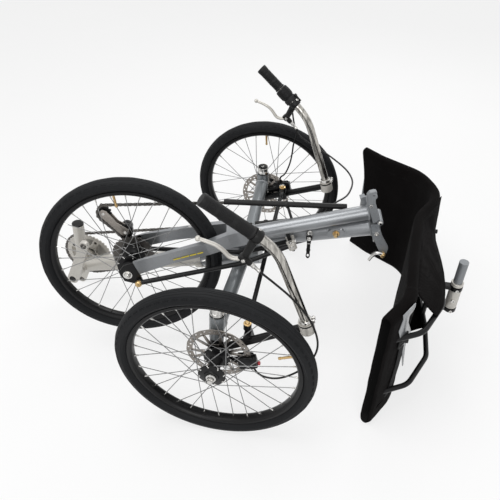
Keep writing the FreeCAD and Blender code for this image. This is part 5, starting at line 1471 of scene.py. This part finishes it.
# each clip as the middle of the chain tube and the spot on the frame that it is fixed to
clips = {"front": [((70, 46, 333.6), (70, 21, 331)), ((210, 44.6, 337), (210, 23, 335)),
                   ((250, 42.8, 289.3), (250, 16, 309))],
         "rear": [((600, 39.1, 326.6), (600, 15, 309)), ((600, 33.8, 254.2), (600, 11, 286))]}


def makeTubeClips(part):
    bm = bmesh.new()
    for spot, root in clips[part]:
        centre, foot = at(*spot), at(*root)
        addSpin(bm, [(7.6, -5), (9.4, -5), (9.9, -4.4), (9.9, 4.4), (9.4, 5), (7.6, 5)], centre, alongAxis,
                28)
        addRod(bm, centre + (foot - centre).normalized() * 0.0088, foot, 0.0036, sides=14)
    finishPiece("tube_clips_" + part, bm, part + "_frame", "blackPlastic")


stripe = {"start": (836, -56.1, 259.0), "end": (916, -64.6, 247.0), "height": 3.4,
          "cuts": (0.0, 0.22, 0.46, 0.74, 1.0), "gap": 0.03}


def makeStripe():  # a plain broken stripe on the near stay
    start, end = at(*stripe["start"]), at(*stripe["end"])
    ahead = (end - start).normalized()
    out = ahead.cross(upAxis).normalized()
    bm = bmesh.new()
    for low, high in zip(stripe["cuts"], stripe["cuts"][1:]):
        a, b = start.lerp(end, low), start.lerp(end, high - stripe["gap"])
        half = Vector(((b - a).length / 2, 0.0004, stripe["height"] * 0.0005))
        addBox(bm, (a + b) / 2, half, 0.0001, facing(ahead, -out, ahead.cross(-out)))
    finishPiece("stay_stripe", bm, "rear_frame", "yellowStripe")


for make in (makeWelds, makeHingeDetails, makeStrap, makeSeatBolt, makeStayClamp, makeBoomDetails,
             makeChanger, makeAxleNuts):
    make()
makeTubeClips("front")
makeTubeClips("rear")
makeStripe()
print("frame details made")


def seenRays(tree):  # 1 for what the camera sees directly, in a reflection or through glass
    path = addNode(tree, "ShaderNodeLightPath").outputs
    return addMath(tree, "MAXIMUM", path["Is Camera Ray"],
                   addMath(tree, "MAXIMUM", path["Is Glossy Ray"], path["Is Transmission Ray"]))


stage = {"floor": 6.0, "glow": 0.72, "light": 0.62}


def addFloor():
    bm = bmesh.new()
    bmesh.ops.create_grid(bm, x_segments=1, y_segments=1, size=stage["floor"])
    floor = addObject("floor", takeMesh(bm, "floor"))
    material = bpy.data.materials.new("paleFloor")
    material.use_nodes = True
    tree = material.node_tree
    surface = tree.nodes["Principled BSDF"]
    surface.inputs["Roughness"].default_value = 0.9
    surface.inputs["Specular IOR Level"].default_value = 0.1
    place = addNode(tree, "ShaderNodeTexCoord").outputs["Object"]
    pale = addMix(tree, addNoise(tree, place, 3.0, 3.0), (0.86, 0.86, 0.86, 1), (0.9, 0.9, 0.9, 1))
    tree.links.new(pale, surface.inputs["Base Color"])
    glow = addNode(tree, "ShaderNodeEmission", {"Strength": 1.0})
    share = addMath(tree, "MULTIPLY", seenRays(tree), stage["glow"])
    mix = addNode(tree, "ShaderNodeMixShader", {0: share, 1: surface.outputs[0], 2: glow.outputs[0]})
    tree.links.new(mix.outputs[0], tree.nodes["Material Output"].inputs["Surface"])
    floor.data.materials.append(material)


def addWorld():
    world = bpy.data.worlds.new("studio")
    bpy.context.scene.world = world
    world.use_nodes = True
    tree = world.node_tree
    light = (stage["light"], stage["light"], stage["light"], 1)
    tree.links.new(addMix(tree, seenRays(tree), light, (1, 1, 1, 1)),
                   tree.nodes["Background"].inputs["Color"])


lamps = {
    "overhead": {"spot": (-0.6, -0.4, 2.6), "aim": (0.1, 0.0, 0.2), "size": 1.8, "power": 26},
    "front": {"spot": (0.6, -2.2, 1.6), "aim": (0.1, 0.0, 0.2), "size": 1.4, "power": 14},
    "back": {"spot": (0.4, 2.0, 1.8), "aim": (0.1, 0.0, 0.3), "size": 1.2, "power": 12},
}


def addLamp(name, values):
    lamp = bpy.data.lights.new(name, "AREA")
    lamp.shape = "DISK"
    lamp.size = values["size"]
    lamp.energy = values["power"]
    holder = addObject(name, lamp)
    holder.location = values["spot"]
    way = Vector(values["aim"]) - Vector(values["spot"])
    holder.rotation_euler = way.to_track_quat("-Z", "Y").to_euler()


camera = {"spot": (0.22423, -1.18244, 1.2495), "turn": (50.7608, 0.0, 10.5377), "lens": 38.4, "sensor": 36.0}


def addCamera():
    eye = bpy.data.cameras.new("camera")
    eye.lens = camera["lens"]
    eye.sensor_width = camera["sensor"]
    holder = addObject("camera", eye)
    holder.location = camera["spot"]
    holder.rotation_euler = [math.radians(turn) for turn in camera["turn"]]
    bpy.context.scene.camera = holder


addFloor()
addWorld()
for name, values in lamps.items():
    addLamp(name, values)
addCamera()
bpy.context.scene.view_settings.view_transform = "Standard"
print("stage, lamps and camera set")
